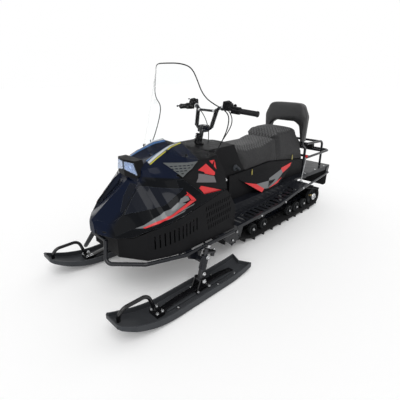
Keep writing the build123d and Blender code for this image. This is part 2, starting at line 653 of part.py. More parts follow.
with BuildPart() as pan:
    with BuildSketch(Plane.XY.offset(PAN_FLOOR)):
        with BuildLine():
            Polyline(*pan_outline(0), close=True)
        make_face()
    extrude(amount=PAN_TOP - PAN_FLOOR)
    with BuildSketch(Plane.XY.offset(PAN_FLOOR + PAN_WALL)):
        with BuildLine():
            Polyline(*pan_outline(PAN_WALL), close=True)
        make_face()
    extrude(amount=PAN_TOP, mode=Mode.SUBTRACT)
    # the side outline: the rim follows the hood's lip, and the side panels run back past the bulkhead
    side_plate(
        [(PAN_FRONT_X + 60, PAN_TOP + 40), (PAN_FRONT_X + 60, 420)] + lip_line
        + [(404, 596), (PAN_REAR_X, 470), (PAN_REAR_X - 60, 470), (PAN_REAR_X - 60, PAN_TOP + 40)],
        -PAN_HALF - 20, PAN_HALF + 20, mode=Mode.SUBTRACT,
    )
    # the floor stops at the bulkhead, ahead of the track
    with Locations((BULKHEAD_X, 0, PAN_FLOOR - 1)):
        Box(
            400, 2 * (PAN_HALF - PAN_WALL), 60,
            align=(Align.MAX, Align.CENTER, Align.MIN), mode=Mode.SUBTRACT,
        )
    with Locations((BULKHEAD_X, 0, PAN_FLOOR)):
        Box(PAN_WALL, 2 * PAN_HALF - 2, 112, align=(Align.MIN, Align.CENTER, Align.MIN))
    # toe panels that close the belly behind, beside the tunnel and the tank cover
    for side in (1, -1):
        side_plate(
            [(PAN_REAR_X, PAN_FLOOR), (PAN_REAR_X, 470), (PAN_REAR_X + PAN_WALL, 470),
             (PAN_REAR_X + PAN_WALL, PAN_FLOOR)],
            side * (TUNNEL_HALF + 4), side * (PAN_HALF - 1),
        )
        side_plate(
            [(PAN_REAR_X, TUNNEL_TOP + 4), (PAN_REAR_X, 470), (404, 596), (409, 594),
             (PAN_REAR_X + PAN_WALL, 469), (PAN_REAR_X + PAN_WALL, TUNNEL_TOP + 4)],
            side * (TANK_HALF + 2), side * (PAN_HALF - 1),
        )
    # the steering column's way through the floor
    with Locations((column_x(PAN_FLOOR), 0, PAN_FLOOR)):
        Box(90, 60, 30, mode=Mode.SUBTRACT)
    # louvres
    with Locations(*[(x, 0, 398 + (1004 - x) * 0.16) for x in range(680, 961, 28)]):
        Box(9, 2 * PAN_HALF + 20, 84, mode=Mode.SUBTRACT)
    for row in range(4):
        slots = [(600 - col * 21 - row * 8, 0, 522 - row * 44 + (col * 2)) for col in range(11 - row // 3)]
        with Locations(*slots):
            Box(8, 2 * PAN_HALF + 20, 30, rotation=(0, -12, 0), mode=Mode.SUBTRACT)
save(pan.part, "belly_pan")

for name, side in (("left", 1), ("right", -1)):
    with BuildPart() as plate:
        under = SHEET + SEAT_GAP
        side_plate(
            [(BOARD_FRONT_X - 2, board_z(BOARD_FRONT_X - 2) - under), (PAN_REAR_X - 3, PAN_FLOOR - 2),
             (367, 276), (350, 190), (257, 102), (160, 150), (130, 230), (140, board_z(140) - under)],
            side * DRIVE_PLATE_Y, side * (DRIVE_PLATE_Y + DRIVE_PLATE_THICK),
        )
        with BuildSketch(Plane.XZ.offset(-side * (DRIVE_PLATE_Y + DRIVE_PLATE_THICK))):
            with Locations((345, 262), (338, 196), (257, 116), (172, 156), (146, 232)):
                RegularPolygon(7, 6)
        extrude(amount=-side * 5)
    save(plate.part, f"drive_plate_{name}")

rail_left = [
    (RAIL_REAR_X_TUBE, RAIL_HALF, RAIL_Z), (790, RAIL_HALF + 4, RAIL_Z), (1024, 298, RAIL_Z),
    (1184, 132, RAIL_Z), (RISER_X, RISER_Y, RISER_Z),
]
with BuildPart() as rail:
    for side in (1, -1):
        round_tube([(x, side * y, z) for x, y, z in rail_left], RAIL_TUBE_R, bend=40)
    with Locations((RISER_X - 3, 0, RISER_Z)):
        Cylinder(RAIL_TUBE_R, 2 * RISER_Y, rotation=(90, 0, 0))
    # tabs in under the pan's floor
    for side in (1, -1):
        for x in (460, 760):
            with Locations((x, side * (RAIL_HALF - RAIL_TUBE_R / 2), PAN_FLOOR - SEAT_GAP)):
                Box(50, 50, 7, align=(Align.CENTER, Align.MAX if side > 0 else Align.MIN, Align.MAX))
save(rail.part, "bumper_rail")

with BuildPart() as beam:
    with Locations((axis_x(AXLE_Z), 0, AXLE_Z)):
        Cylinder(AXLE_TUBE_R, 2 * (SKI_Y - HOUSING_R + 4), rotation=(90, 0, 0))
    for side in (1, -1):
        housing = kingpin_plane(side, HOUSING_LOW)
        with BuildSketch(housing):
            Circle(HOUSING_R)
        extrude(amount=HOUSING_HEIGHT)
        with BuildSketch(kingpin_plane(side, HOUSING_LOW - 5)):
            Circle(KINGPIN_R + FIT_GAP)
        extrude(amount=HOUSING_HEIGHT + 60, mode=Mode.SUBTRACT)
        with Locations((axis_x(AXLE_Z), side * 250, AXLE_Z)):
            Box(120, 8, PAN_FLOOR - AXLE_Z - SEAT_GAP, align=(Align.CENTER, Align.CENTER, Align.MIN))
        # gusset up to the bumper rail
        side_plate(
            [(axis_x(AXLE_Z) - 10, AXLE_Z), (axis_x(AXLE_Z) - 34, RAIL_Z - RAIL_TUBE_R + 1),
             (772, RAIL_Z - RAIL_TUBE_R + 1), (764, 246), (axis_x(AXLE_Z) + 16, AXLE_Z)],
            side * (RAIL_HALF - RAIL_TUBE_R), side * (RAIL_HALF - RAIL_TUBE_R / 2),
        )
save(beam.part, "front_axle")

# ---------------------------------------------------------------- hood
# Half sections of the hood at stations along X, from the centre line out and down: (y, z).
hood_stations = {
    1178: [(0, 519), (14, 514), (20, 506), (24, 494), (26, 470), (26, 400)],
    1160: [(0, 533), (40, 524), (50, 514), (58, 500), (68, 470), (66, 400)],
    1118: [(0, 566), (108, 514), (118, 508), (124, 498), (158, 450), (161, 400)],
    1048: [(0, 617), (131, 549), (136, 560), (147, 569), (214, 488), (222, 400)],
    995: [(0, 652), (115, 598), (126, 618), (137, 627), (288, 496), (303, 400)],
    941: [(0, 692), (96, 654), (108, 680), (119, 690), (318, 518), (332, 400)],
    908: [(0, 716), (84, 700), (98, 713), (110, 717), (326, 545), (346, 400)],
    884: [(0, 790), (86, 793), (118, 772), (136, 718), (340, 546), (353, 400)],
    856: [(0, 801), (88, 806), (132, 786), (183, 722), (346, 578), (357, 400)],
    774: [(0, 818), (89, 842), (182, 796), (288, 733), (354, 612), (361, 400)],
    650: [(0, 842), (89, 886), (252, 808), (330, 730), (361, 640), (362, 400)],
    560: [(0, 850), (89, 896), (268, 806), (336, 724), (361, 640), (362, 400)],
    404: [(0, 834), (80, 838), (262, 826), (338, 720), (361, 620), (362, 400)],
}


def moved_out(half, grow):
    """A half section with every side moved out by a distance, its corners mitred."""
    runs = [Vector(b[0] - a[0], b[1] - a[1]).normalized() for a, b in zip(half, half[1:])]
    normals = [Vector(-run.Y, run.X) for run in runs]
    normals = [Vector(-n.X, n.Y) for n in normals[:1]] + normals + normals[-1:]
    places = []
    for (y, z), before, after in zip(half, normals, normals[1:]):
        mitre = (before + after) * (grow / (1 + before.dot(after)))
        places.append((y + mitre.X, z + mitre.Y))
    return places


def hood_form(grow=0.0, front=0.0):
    """The closed form that the hood and the console behind it are cut from."""
    with BuildPart() as form:
        for x, half in hood_stations.items():
            section = moved_out(half, grow)
            with BuildSketch(Plane.YZ.offset(x + (front if x == max(hood_stations) else 0))):
                with BuildLine():
                    Polyline(*section, *[(-y, z) for y, z in reversed(section[1:])], close=True)
                make_face()
        loft(ruled=True)
    return form.part


lip_above = [(x, z + PANEL_GAP) for x, z in lip_line[1:]]
hood_side = [
    (1250, 452), (LIP_FRONT_X + PANEL_GAP, 428 + PANEL_GAP), *lip_above,
    (626, 626), (756, 752), (591, 805), (566, 812), (566, 1000), (1250, 1000),
]
console_side = [
    (431, 604 + PANEL_GAP), (622, 626 - PANEL_GAP), (742, 746), (588, 797), (566 - PANEL_GAP, 806),
    (566 - PANEL_GAP, 1000), (404, 1000), (404, 610),
]
outer = hood_form()
with BuildPart() as hood:
    add(outer)
    add(hood_form(grow=-HOOD_WALL, front=-HOOD_WALL), mode=Mode.SUBTRACT)
    add(slab(hood_side, PAN_HALF + 20), mode=Mode.INTERSECT)
    for side in (1, -1):
        side_plate(
            [(HINGE_X - 16, HINGE_Z - 14), (HINGE_X + 14, HINGE_Z - 14), (HINGE_X + 14, HINGE_Z + 30),
             (HINGE_X - 16, HINGE_Z + 44)],
            side * HINGE_EAR_Y, side * (HINGE_EAR_Y + 6),
        )
        side_plate(
            [(HINGE_X + 8, HINGE_Z - 60), (HINGE_X + 40, HINGE_Z - 60), (HINGE_X + 40, HINGE_Z + 4),
             (HINGE_X + 8, HINGE_Z + 4)],
            side * (HINGE_EAR_Y - HINGE_SLOT), side * HINGE_EAR_Y, mode=Mode.SUBTRACT,
        )
    with BuildSketch(Plane.XZ.offset(-PAN_HALF)):
        with Locations((HINGE_X, HINGE_Z)):
            Circle(HINGE_PIN_R + FIT_GAP)
    extrude(amount=2 * PAN_HALF, mode=Mode.SUBTRACT)
save(hood.part, "hood")
with BuildPart() as console:
    add(hood_form(grow=-CONSOLE_INSET))
    add(slab(console_side, PAN_HALF + 20), mode=Mode.INTERSECT)
save(console.part, "console")

# ---------------------------------------------------------------- windshield
SCREEN_LEAN = degrees(atan(0.277))
with BuildPart() as windshield:
    with BuildSketch(Plane.XY.offset(SCREEN_LOW)) as screen_plan:
        with BuildLine():
            faces = []
            for depth in (0.0, SCREEN_THICK):
                faces.append(Spline(*[(screen_x(y) - depth, y) for y in SCREEN_YS]))
            Line(faces[0] @ 0, faces[1] @ 0)
            Line(faces[0] @ 1, faces[1] @ 1)
        make_face()
    up_the_screen = (-sin(radians(SCREEN_LEAN)), 0, cos(radians(SCREEN_LEAN)))
    extrude(amount=SCREEN_TOP - SCREEN_LOW + 60, dir=up_the_screen)
    add(screen_front(), mode=Mode.INTERSECT)
    add(hood_form(grow=SEAT_GAP), mode=Mode.SUBTRACT)
save(windshield.part, "windshield")

# ---------------------------------------------------------------- hood fittings
with BuildPart() as surround:
    with BuildSketch(Plane.XY.offset(LAMP_LOW - 22)):
        with BuildLine():
            Polyline(
                (934, 0), (912, LAMP_OUT), (896, LAMP_OUT + 8), (860, LAMP_OUT + 8), (860, -LAMP_OUT - 8),
                (896, -LAMP_OUT - 8), (912, -LAMP_OUT), close=True,
            )
        make_face()
    extrude(amount=LAMP_HIGH - LAMP_LOW + 34)
    rim = [(LAMP_OUT - 16, LAMP_HIGH + 12), (LAMP_OUT + 8, LAMP_LOW - 8), (LAMP_OUT - 12, LAMP_LOW - 22)]
    with BuildSketch(Plane.YZ.offset(850)) as front:
        with BuildLine():
            Polyline(*rim, *[(-y, z) for y, z in reversed(rim)], close=True)
        make_face()
    extrude(front.sketch, amount=100, mode=Mode.INTERSECT)
    for side in (1, -1):
        add(lamp_block(side, SEAT_GAP), mode=Mode.SUBTRACT)
    add(hood_form(grow=SEAT_GAP), mode=Mode.SUBTRACT)
save(surround.part, "headlight_surround")

for name, side in (("left", 1), ("right", -1)):
    lamp_glass = lamp_block(side, 0.0)
    save(lamp_glass, f"headlight_{name}")

    with BuildPart() as vent:
        add(hood_form(grow=SEAT_GAP + 3))
        add(hood_form(grow=SEAT_GAP), mode=Mode.SUBTRACT)
        side_plate([(768, 810), (585, 806), (729, 742)], side * 120, side * 350, mode=Mode.INTERSECT)
        for row in range(4):
            for col in range(-row, row + 1):
                with Locations((716 - row * 5 + col * 22, side * 240, 757 + row * 12)):
                    Box(16, 280, 5, mode=Mode.SUBTRACT)
    save(vent.part, f"hood_vent_{name}")

hinge_foot = RISER_Z + RAIL_TUBE_R + SEAT_GAP
with BuildPart() as hinge:
    for side in (1, -1):
        side_plate(
            [(RISER_X - 16, hinge_foot), (RISER_X, hinge_foot), (HINGE_X + 10, HINGE_Z - 8),
             (HINGE_X + 10, HINGE_Z + 12), (HINGE_X - 12, HINGE_Z + 12)],
            side * (HINGE_EAR_Y - SEAT_GAP - 8), side * (HINGE_EAR_Y - SEAT_GAP),
        )
    with BuildSketch(Plane.XZ.offset(-HINGE_EAR_Y - 12)):
        with Locations((HINGE_X, HINGE_Z)):
            Circle(HINGE_PIN_R)
    extrude(amount=2 * (HINGE_EAR_Y + 12))
save(hinge.part, "hood_hinge")

# ---------------------------------------------------------------- tank cover, seats and backrest
seat_low = [(1, 608), (-313, 621), (SEAT_REAR_X, 549)]
SEAT_FLOOR = TUNNEL_TOP + SEAT_GAP
SPLIT_X = 192.0

with BuildPart() as tank_cover:
    side_plate(
        [(404 - SEAT_GAP, SEAT_FLOOR), (404 - SEAT_GAP, TANK_TOP), (136, TANK_TOP), (7, 610),
         (SPLIT_X + SEAT_GAP, 606), (SPLIT_X + SEAT_GAP, SEAT_FLOOR)],
        -TANK_HALF, TANK_HALF,
    )
    side_plate(
        [(405, SEAT_FLOOR - 1), (405, TANK_TOP - PAN_WALL), (138, TANK_TOP - PAN_WALL), (16, 614),
         (SPLIT_X + PAN_WALL, 612), (SPLIT_X + PAN_WALL, SEAT_FLOOR - 1)],
        -TANK_HALF + PAN_WALL, TANK_HALF - PAN_WALL, mode=Mode.SUBTRACT,
    )
    with BuildSketch(column_plane(TANK_TOP - 30)):
        Circle(COLUMN_R + 16)
    extrude(amount=44)
    with BuildSketch(column_plane(TANK_TOP - 60)):
        Circle(COLUMN_R + FIT_GAP)
    extrude(amount=120, mode=Mode.SUBTRACT)
save(tank_cover.part, "tank_cover")

with BuildPart() as seat_base:
    side_plate(
        [(SPLIT_X, SEAT_FLOOR), (SPLIT_X, 605), (1, 608 - SEAT_GAP), (-313, 621 - SEAT_GAP),
         (SEAT_REAR_X, 549 - SEAT_GAP), (SEAT_REAR_X, SEAT_FLOOR)],
        -SEAT_HALF - 12, SEAT_HALF + 12,
    )
    side_plate(
        [(SPLIT_X - 60, SEAT_FLOOR - 1), (SPLIT_X - 60, 560), (SEAT_REAR_X + 30, 500),
         (SEAT_REAR_X + 30, SEAT_FLOOR - 1)],
        -SEAT_HALF + 8, SEAT_HALF - 8, mode=Mode.SUBTRACT,
    )
save(seat_base.part, "seat_base")


def seat_section(low_x, high_x):
    """The seat's cross section, narrower at the top, run along X."""
    half = [
        (SEAT_HALF + 2, 530), (SEAT_HALF, 640), (SEAT_HALF - 20, 745), (SEAT_HALF - 30, 800),
        (SEAT_HALF - 34, 900),
    ]
    with BuildPart() as form:
        with BuildSketch(Plane.YZ.offset(low_x)) as section:
            with BuildLine():
                Polyline(*half, *[(-y, z) for y, z in reversed(half)], close=True)
            make_face()
        extrude(section.sketch, amount=high_x - low_x)
    return form.part


with BuildPart() as driver_seat:
    side_plate(
        [(130, 824), (60, 788), (-60, 764), (-250, 764), (SEAT_STEP_X, 790), (SEAT_STEP_X, 607), (-313, 621),
         (1, 608)],
        -SEAT_HALF - 10, SEAT_HALF + 10,
    )
    add(seat_section(SEAT_STEP_X - 10, 200), mode=Mode.INTERSECT)
save(driver_seat.part, "driver_seat")

with BuildPart() as passenger_seat:
    side_plate(
        [(SEAT_STEP_X - SEAT_GAP, 826), (-470, 855), (-700, 858), (-752, 836), (-835, 720),
         (SEAT_REAR_X, 549), (SEAT_STEP_X - SEAT_GAP, 607)],
        -SEAT_HALF - 10, SEAT_HALF + 10,
    )
    add(seat_section(SEAT_REAR_X - 10, 0), mode=Mode.INTERSECT)
save(passenger_seat.part, "passenger_seat")

with BuildPart() as backrest:
    with BuildSketch(Plane.YZ.offset(BACKREST_X - BACKREST_THICK / 2)) as rest:
        with BuildLine():
            half_rest = [(176, 715), (206, 715), (219, 940), (168, 1051)]
            half_arch = [(96, 889), (150, 858)]
            Polyline(
                *half_rest, *[(-y, z) for y, z in reversed(half_rest)],
                *[(-y, z) for y, z in reversed(half_arch)], *half_arch, close=True,
            )
        make_face()
        fillet([corner for corner in rest.vertices() if corner.Y > 900], radius=62)
        fillet([corner for corner in rest.vertices() if 857 < corner.Y < 890], radius=40)
    extrude(amount=BACKREST_THICK)
    fillet(backrest.faces().filter_by(Axis.X).edges(), radius=14)
save(backrest.part, "backrest_pad")

with BuildPart() as backrest_frame:
    for side in (1, -1):
        leg = [(BACKREST_X, 715 - SEAT_GAP), (BACKREST_X, 682), (FRAME_X, 642), (FRAME_X, SEAT_FLOOR)]
        round_tube([(x, side * BACKREST_TUBE_Y, z) for x, z in leg], 12, bend=24)
    with Locations((FRAME_X, 0, SEAT_FLOOR + 20)):
        Cylinder(10, 2 * BACKREST_TUBE_Y, rotation=(90, 0, 0))
save(backrest_frame.part, "backrest_frame")

RACK_R = 11.0
rack_front = FRAME_X - 12 - RACK_R - SEAT_GAP
with BuildPart() as rack:
    hoop = [
        (rack_front, BACKREST_TUBE_Y, 684), (RACK_POST_X, BACKREST_TUBE_Y, 667),
        (RACK_POST_X - 6, BACKREST_TUBE_Y, DECK_TOP + SEAT_GAP + 3),
    ]
    for side in (1, -1):
        round_tube([(x, side * y, z) for x, y, z in hoop], RACK_R, bend=45)
    with Locations((RACK_POST_X + 45, 0, 668), (rack_front, 0, 684)):
        Cylinder(RACK_R, 2 * BACKREST_TUBE_Y, rotation=(90, 0, 0))
    loop = [
        (LOOP_FRONT_X, LOOP_HALF, LOOP_Z), (LOOP_REAR_X, LOOP_HALF, LOOP_Z),
        (LOOP_REAR_X, -LOOP_HALF, LOOP_Z), (LOOP_FRONT_X, -LOOP_HALF, LOOP_Z),
    ]
    round_tube(loop, RACK_R, bend=50)
    with Locations((rack_front, 0, LOOP_Z), (RACK_POST_X, 0, LOOP_Z)):
        Cylinder(RACK_R, 2 * LOOP_HALF, rotation=(90, 0, 0))
save(rack.part, "rear_rack")

with BuildPart() as lamp:
    with Locations((RACK_POST_X - 10, 0, LOOP_Z + RACK_R + SEAT_GAP)):
        Box(44, 190, 42, align=(Align.CENTER, Align.CENTER, Align.MIN))
    fillet(lamp.edges().filter_by(Axis.X), radius=8)
save(lamp.part, "tail_lamp")

for name, side in (("left", 1), ("right", -1)):
    with BuildPart() as stay:
        round_tube(
            [(LOOP_FRONT_X + SEAT_GAP, side * LOOP_HALF, LOOP_Z),
             (LOOP_FRONT_X + 12, side * LOOP_HALF, LOOP_Z), (BOARD_REAR_X + 8, side * 330, BOARD_REAR_Z + 8)],
            5, bend=6,
        )
        with Locations((BOARD_REAR_X + 8, side * 330, BOARD_REAR_Z + SEAT_GAP)):
            Box(30, 24, 8, align=(Align.CENTER, Align.CENTER, Align.MIN))
    save(stay.part, f"rack_stay_{name}")

# ---------------------------------------------------------------- engine and exhaust in the belly
ENGINE_X = 740.0
with BuildPart() as engine:
    with Locations((ENGINE_X - 20, 0, PAN_FLOOR + PAN_WALL + SEAT_GAP)):
        Box(300, 300, 150, align=(Align.CENTER, Align.CENTER, Align.MIN))
    fillet(engine.edges().filter_by(Axis.Y), radius=30)
    with BuildSketch(Plane.XY.offset(440)):
        with Locations((ENGINE_X, 0)):
            RectangleRounded(150, 190, 20)
    extrude(amount=170)
    for fin in range(9):
        with BuildSketch(Plane.XY.offset(462 + fin * 15)):
            with Locations((ENGINE_X, 0)):
                RectangleRounded(200, 240, 26)
        extrude(amount=5)
    with Locations((ENGINE_X - 100, 178, 400)):
        Cylinder(90, 60, rotation=(90, 0, 0))
save(engine.part, "engine")

MUFFLER_R = 62.0
muffler_z = PAN_FLOOR + PAN_WALL + SEAT_GAP + MUFFLER_R
with BuildPart() as muffler:
    with Locations((960, 0, muffler_z)):
        Cylinder(MUFFLER_R, 300, rotation=(90, 0, 0))
    fillet(muffler.edges().filter_by(GeomType.CIRCLE), radius=22)
    port_x = ENGINE_X + 100 + SEAT_GAP
    round_tube([(940, -60, muffler_z + 50), (port_x + 60, -60, 505), (port_x, -60, 505)], 17)
save(muffler.part, "muffler")

# ---------------------------------------------------------------- handlebar
COLUMN_FOOT = ARM_Z - 10
with BuildPart() as handlebar:
    with BuildSketch(column_plane(COLUMN_FOOT)):
        Circle(COLUMN_R)
    extrude(amount=(BAR_Z - COLUMN_FOOT) / cos(radians(STEER_RAKE)))
    with Locations((BAR_X - 4, 0, BAR_LOW_Z)):
        Box(54, 62, 46)
    bar = [
        (BAR_X - 126, GRIP_OUT, GRIP_Z), (BAR_X - 48, 94, GRIP_Z + 30), (BAR_X - 6, 72, BAR_LOW_Z),
        (BAR_X - 6, -72, BAR_LOW_Z), (BAR_X - 48, -94, GRIP_Z + 30), (BAR_X - 126, -GRIP_OUT, GRIP_Z),
    ]
    round_tube(bar, BAR_R, bend=34)
    with Locations((BAR_X - 38, 0, GRIP_Z + 4)):
        Cylinder(BAR_R * 0.8, 2 * 84, rotation=(90, 0, 0))
    # pitman arm under the belly, with one stud that carries both tie rods
    with BuildSketch(column_plane(ARM_Z)):
        with BuildLine():
            Polyline((24, 24), (-STEER_ARM - 14, 14), (-STEER_ARM - 14, -14), (24, -24), close=True)
        make_face()
    extrude(amount=ARM_THICK / 2, both=True)
    stud_length = 2 * INNER_EYE + 3 * EYE_SLACK + 1
    with BuildSketch(column_plane(ARM_Z).offset(-ARM_THICK / 2 - stud_length)):
        with Locations((-STEER_ARM, 0)):
            Circle(STUD_R)
    extrude(amount=stud_length + 1)
save(handlebar.part, "handlebar")

for name, side in (("left", 1), ("right", -1)):
    inner_end = Vector(BAR_X - 48, side * 94, GRIP_Z + 30)
    outer_end = Vector(BAR_X - 126, side * GRIP_OUT, GRIP_Z)
    along = (outer_end - inner_end).normalized()
    with BuildPart() as grip:
        with BuildSketch(Plane(origin=outer_end - along * GRIP_LENGTH, z_dir=along)):
            Circle(GRIP_R)
            Circle(BAR_R + FIT_GAP, mode=Mode.SUBTRACT)
        extrude(amount=GRIP_LENGTH + SEAT_GAP)
        with BuildSketch(Plane(origin=outer_end + along * SEAT_GAP, z_dir=along)):
            Circle(GRIP_R)
        extrude(amount=6)
    save(grip.part, f"grip_{name}")

    with BuildPart() as block:
        block_plane = Plane(origin=outer_end - along * (GRIP_LENGTH + 60), x_dir=(0, 0, 1), z_dir=along)
        with BuildSketch(block_plane):
            RectangleRounded(46, 44, 10)
            Circle(BAR_R + FIT_GAP, mode=Mode.SUBTRACT)
        extrude(amount=56)
        with BuildSketch(block_plane.offset(-62)):
            with Locations((18, 0)):
                RectangleRounded(58, 50, 8)
            Circle(BAR_R + FIT_GAP, mode=Mode.SUBTRACT)
        extrude(amount=44)
    save(block.part, f"control_block_{name}")

# ---------------------------------------------------------------- spindles, tie rods and skis
for name, side in (("left", 1), ("right", -1)):
    y0 = side * SKI_Y
    with BuildPart() as spindle:
        with Locations((PIVOT_X, y0, PIVOT_Z)):
            Cylinder(FOOT_R, FOOT_WIDTH, rotation=(90, 0, 0))
        with BuildSketch(kingpin_plane(side, PIVOT_Z)):
            Circle(FOOT_R)
        extrude(amount=(HOUSING_LOW - PIVOT_Z) / cos(radians(STEER_RAKE)) - SEAT_GAP)
        with BuildSketch(kingpin_plane(side, PIVOT_Z + 10)):
            Circle(KINGPIN_R)
        extrude(amount=(ARM_Z + 12 - PIVOT_Z) / cos(radians(STEER_RAKE)))
        with Locations((PIVOT_X, y0, PIVOT_Z)):
            Cylinder(PIVOT_R + FIT_GAP, FOOT_WIDTH + 2, rotation=(90, 0, 0), mode=Mode.SUBTRACT)
        with BuildSketch(kingpin_plane(side, ARM_Z)):
            SlotCenterPoint((-STEER_ARM / 2, 0), (0, 0), 36)
        extrude(amount=ARM_THICK / 2, both=True)
        with BuildSketch(kingpin_plane(side, ARM_Z).offset(-ARM_THICK / 2 - OUTER_EYE - 1)):
            with Locations((-STEER_ARM, 0)):
                Circle(STUD_R)
        extrude(amount=OUTER_EYE + 10)
    save(spindle.part, f"spindle_{name}")

    with BuildPart() as tie_rod:
        # the left rod's inner eye sits on top of the right one's
        eye_drop = (INNER_EYE + EYE_SLACK) * (1 if side > 0 else 2)
        outer_eye = kingpin_plane(side, ARM_Z).offset(-ARM_THICK / 2 - EYE_SLACK - OUTER_EYE)
        inner_eye = column_plane(ARM_Z).offset(-ARM_THICK / 2 - eye_drop)
        for eye_plane, height in ((outer_eye, OUTER_EYE), (inner_eye, INNER_EYE)):
            with BuildSketch(eye_plane):
                with Locations((-STEER_ARM, 0)):
                    Circle(STUD_R + 7)
            extrude(amount=height)
        a = outer_eye.offset(OUTER_EYE / 2).from_local_coords(Vector(-STEER_ARM, 0, 0))
        b = inner_eye.offset(INNER_EYE / 2).from_local_coords(Vector(-STEER_ARM, 0, 0))
        round_tube([tuple(a), tuple(b)], TIE_ROD_R)
        with BuildSketch(outer_eye.offset(-1)):
            with Locations((-STEER_ARM, 0)):
                Circle(STUD_R + FIT_GAP)
        extrude(amount=OUTER_EYE + 2, mode=Mode.SUBTRACT)
        with BuildSketch(inner_eye.offset(-1)):
            with Locations((-STEER_ARM, 0)):
                Circle(STUD_R + OPEN_PIVOT_GAP)
        extrude(amount=INNER_EYE + 2, mode=Mode.SUBTRACT)
    save(tie_rod.part, f"tie_rod_{name}")

    with BuildPart() as ski:
        with BuildSketch(Plane.XZ.offset(-y0 - SKI_WIDTH / 2)):
            with BuildLine():
                low = Line((SKI_FLAT_REAR, SKI_KEEL), (SKI_FLAT_FRONT, SKI_KEEL))
                toe = TangentArc((SKI_FLAT_FRONT, SKI_KEEL), (SKI_TIP_X, TIP_RISE), tangent=(1, 0))
                tip = Line(toe @ 1, (SKI_TIP_X, TIP_RISE + TIP_LIP))
                rim_toe = TangentArc((SKI_FLAT_FRONT, SKI_KEEL + SKI_RIM), tip @ 1, tangent=(1, 0))
                rim = Line((SKI_FLAT_REAR, SKI_KEEL + SKI_RIM), (SKI_FLAT_FRONT, SKI_KEEL + SKI_RIM))
                rim_end = (SKI_REAR_X, TAIL_RISE + SKI_RIM * 0.8)
                rim_heel = TangentArc((SKI_FLAT_REAR, SKI_KEEL + SKI_RIM), rim_end, tangent=(-1, 0))
                heel = TangentArc((SKI_FLAT_REAR, SKI_KEEL), (SKI_REAR_X, TAIL_RISE), tangent=(-1, 0))
                Line(rim_heel @ 1, heel @ 1)
            make_face()
        extrude(amount=SKI_WIDTH)
        with BuildSketch(Plane.XY.offset(-1)) as ski_plan:
            with BuildLine():
                Polyline(*ski_outline(y0, 0.0), close=True)
            make_face()
        extrude(ski_plan.sketch, amount=400, mode=Mode.INTERSECT)
        add(ski_well(y0), mode=Mode.SUBTRACT)
        # centre rib above, keel bar below
        with Locations((ski_rib_x, y0, SKI_KEEL + SKI_SOLE - 1)):
            Box(SKI_RIB_LENGTH, 56, SKI_RIB + 1, align=(Align.CENTER, Align.CENTER, Align.MIN))
        for y in (-52, 52):
            with Locations((735, y0 + y, SKI_KEEL + SKI_SOLE - 1)):
                Box(430, 10, 9, align=(Align.CENTER, Align.CENTER, Align.MIN))
        with Locations((735, y0, 0)):
            Box(400, 22, SKI_KEEL + 1, align=(Align.CENTER, Align.CENTER, Align.MIN))
    save(ski.part, f"ski_{name}")

    with BuildPart() as saddle:
        base = SKI_KEEL + SKI_SOLE + SKI_RIB + SEAT_GAP
        with Locations((PIVOT_X, y0, base)):
            Box(120, 2 * (FOOT_WIDTH / 2 + SEAT_GAP + EAR), 7, align=(Align.CENTER, Align.CENTER, Align.MIN))
        for ear in (1, -1):
            side_plate(
                [(PIVOT_X - 55, base), (PIVOT_X + 55, base), (PIVOT_X + 20, PIVOT_Z + 16),
                 (PIVOT_X - 20, PIVOT_Z + 16)],
                y0 + ear * (FOOT_WIDTH / 2 + SEAT_GAP), y0 + ear * (FOOT_WIDTH / 2 + SEAT_GAP + EAR),
            )
        with Locations((PIVOT_X, y0, PIVOT_Z)):
            Cylinder(PIVOT_R, FOOT_WIDTH + 2 * EAR + 16, rotation=(90, 0, 0))
    save(saddle.part, f"ski_saddle_{name}")

    with BuildPart() as ski_loop:
        sole_top = SKI_KEEL + SKI_SOLE + SEAT_GAP
        bracket_z = sole_top + sole_rise(SKI_LOOP_REAR + 20)
        foot_z = sole_top + sole_rise(SKI_LOOP_FRONT + LOOP_R)
        round_tube(
            [(SKI_LOOP_REAR, y0, bracket_z + 14), (SKI_LOOP_REAR + 46, y0, LOOP_TOP),
             (SKI_LOOP_FRONT, y0, LOOP_TOP), (SKI_LOOP_FRONT, y0, foot_z)],
            LOOP_R, bend=54,
        )
        with Locations((SKI_LOOP_REAR - 8, y0, bracket_z)):
            Box(56, 74, 24, align=(Align.CENTER, Align.CENTER, Align.MIN))
    save(ski_loop.part, f"ski_loop_{name}")
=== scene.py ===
import json
import math

import bmesh
import bpy
from mathutils import Matrix, Vector


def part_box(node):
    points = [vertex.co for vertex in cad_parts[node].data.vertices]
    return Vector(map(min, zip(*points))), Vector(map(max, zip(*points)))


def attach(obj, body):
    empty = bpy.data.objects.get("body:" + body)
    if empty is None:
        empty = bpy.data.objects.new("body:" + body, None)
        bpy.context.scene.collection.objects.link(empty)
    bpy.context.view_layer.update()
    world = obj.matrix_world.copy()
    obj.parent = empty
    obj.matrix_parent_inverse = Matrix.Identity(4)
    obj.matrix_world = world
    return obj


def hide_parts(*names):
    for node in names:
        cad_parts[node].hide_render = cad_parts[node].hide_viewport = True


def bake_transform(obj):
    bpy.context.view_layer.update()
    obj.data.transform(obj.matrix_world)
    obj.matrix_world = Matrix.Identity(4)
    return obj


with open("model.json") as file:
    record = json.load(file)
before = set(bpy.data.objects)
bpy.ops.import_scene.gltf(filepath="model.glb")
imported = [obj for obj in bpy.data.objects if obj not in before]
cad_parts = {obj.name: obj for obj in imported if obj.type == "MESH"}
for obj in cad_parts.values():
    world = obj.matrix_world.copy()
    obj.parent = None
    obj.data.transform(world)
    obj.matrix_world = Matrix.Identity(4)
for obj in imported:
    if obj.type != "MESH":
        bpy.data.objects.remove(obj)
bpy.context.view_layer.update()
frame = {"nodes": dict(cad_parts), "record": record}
nodes = frame["nodes"]
record = frame["record"]

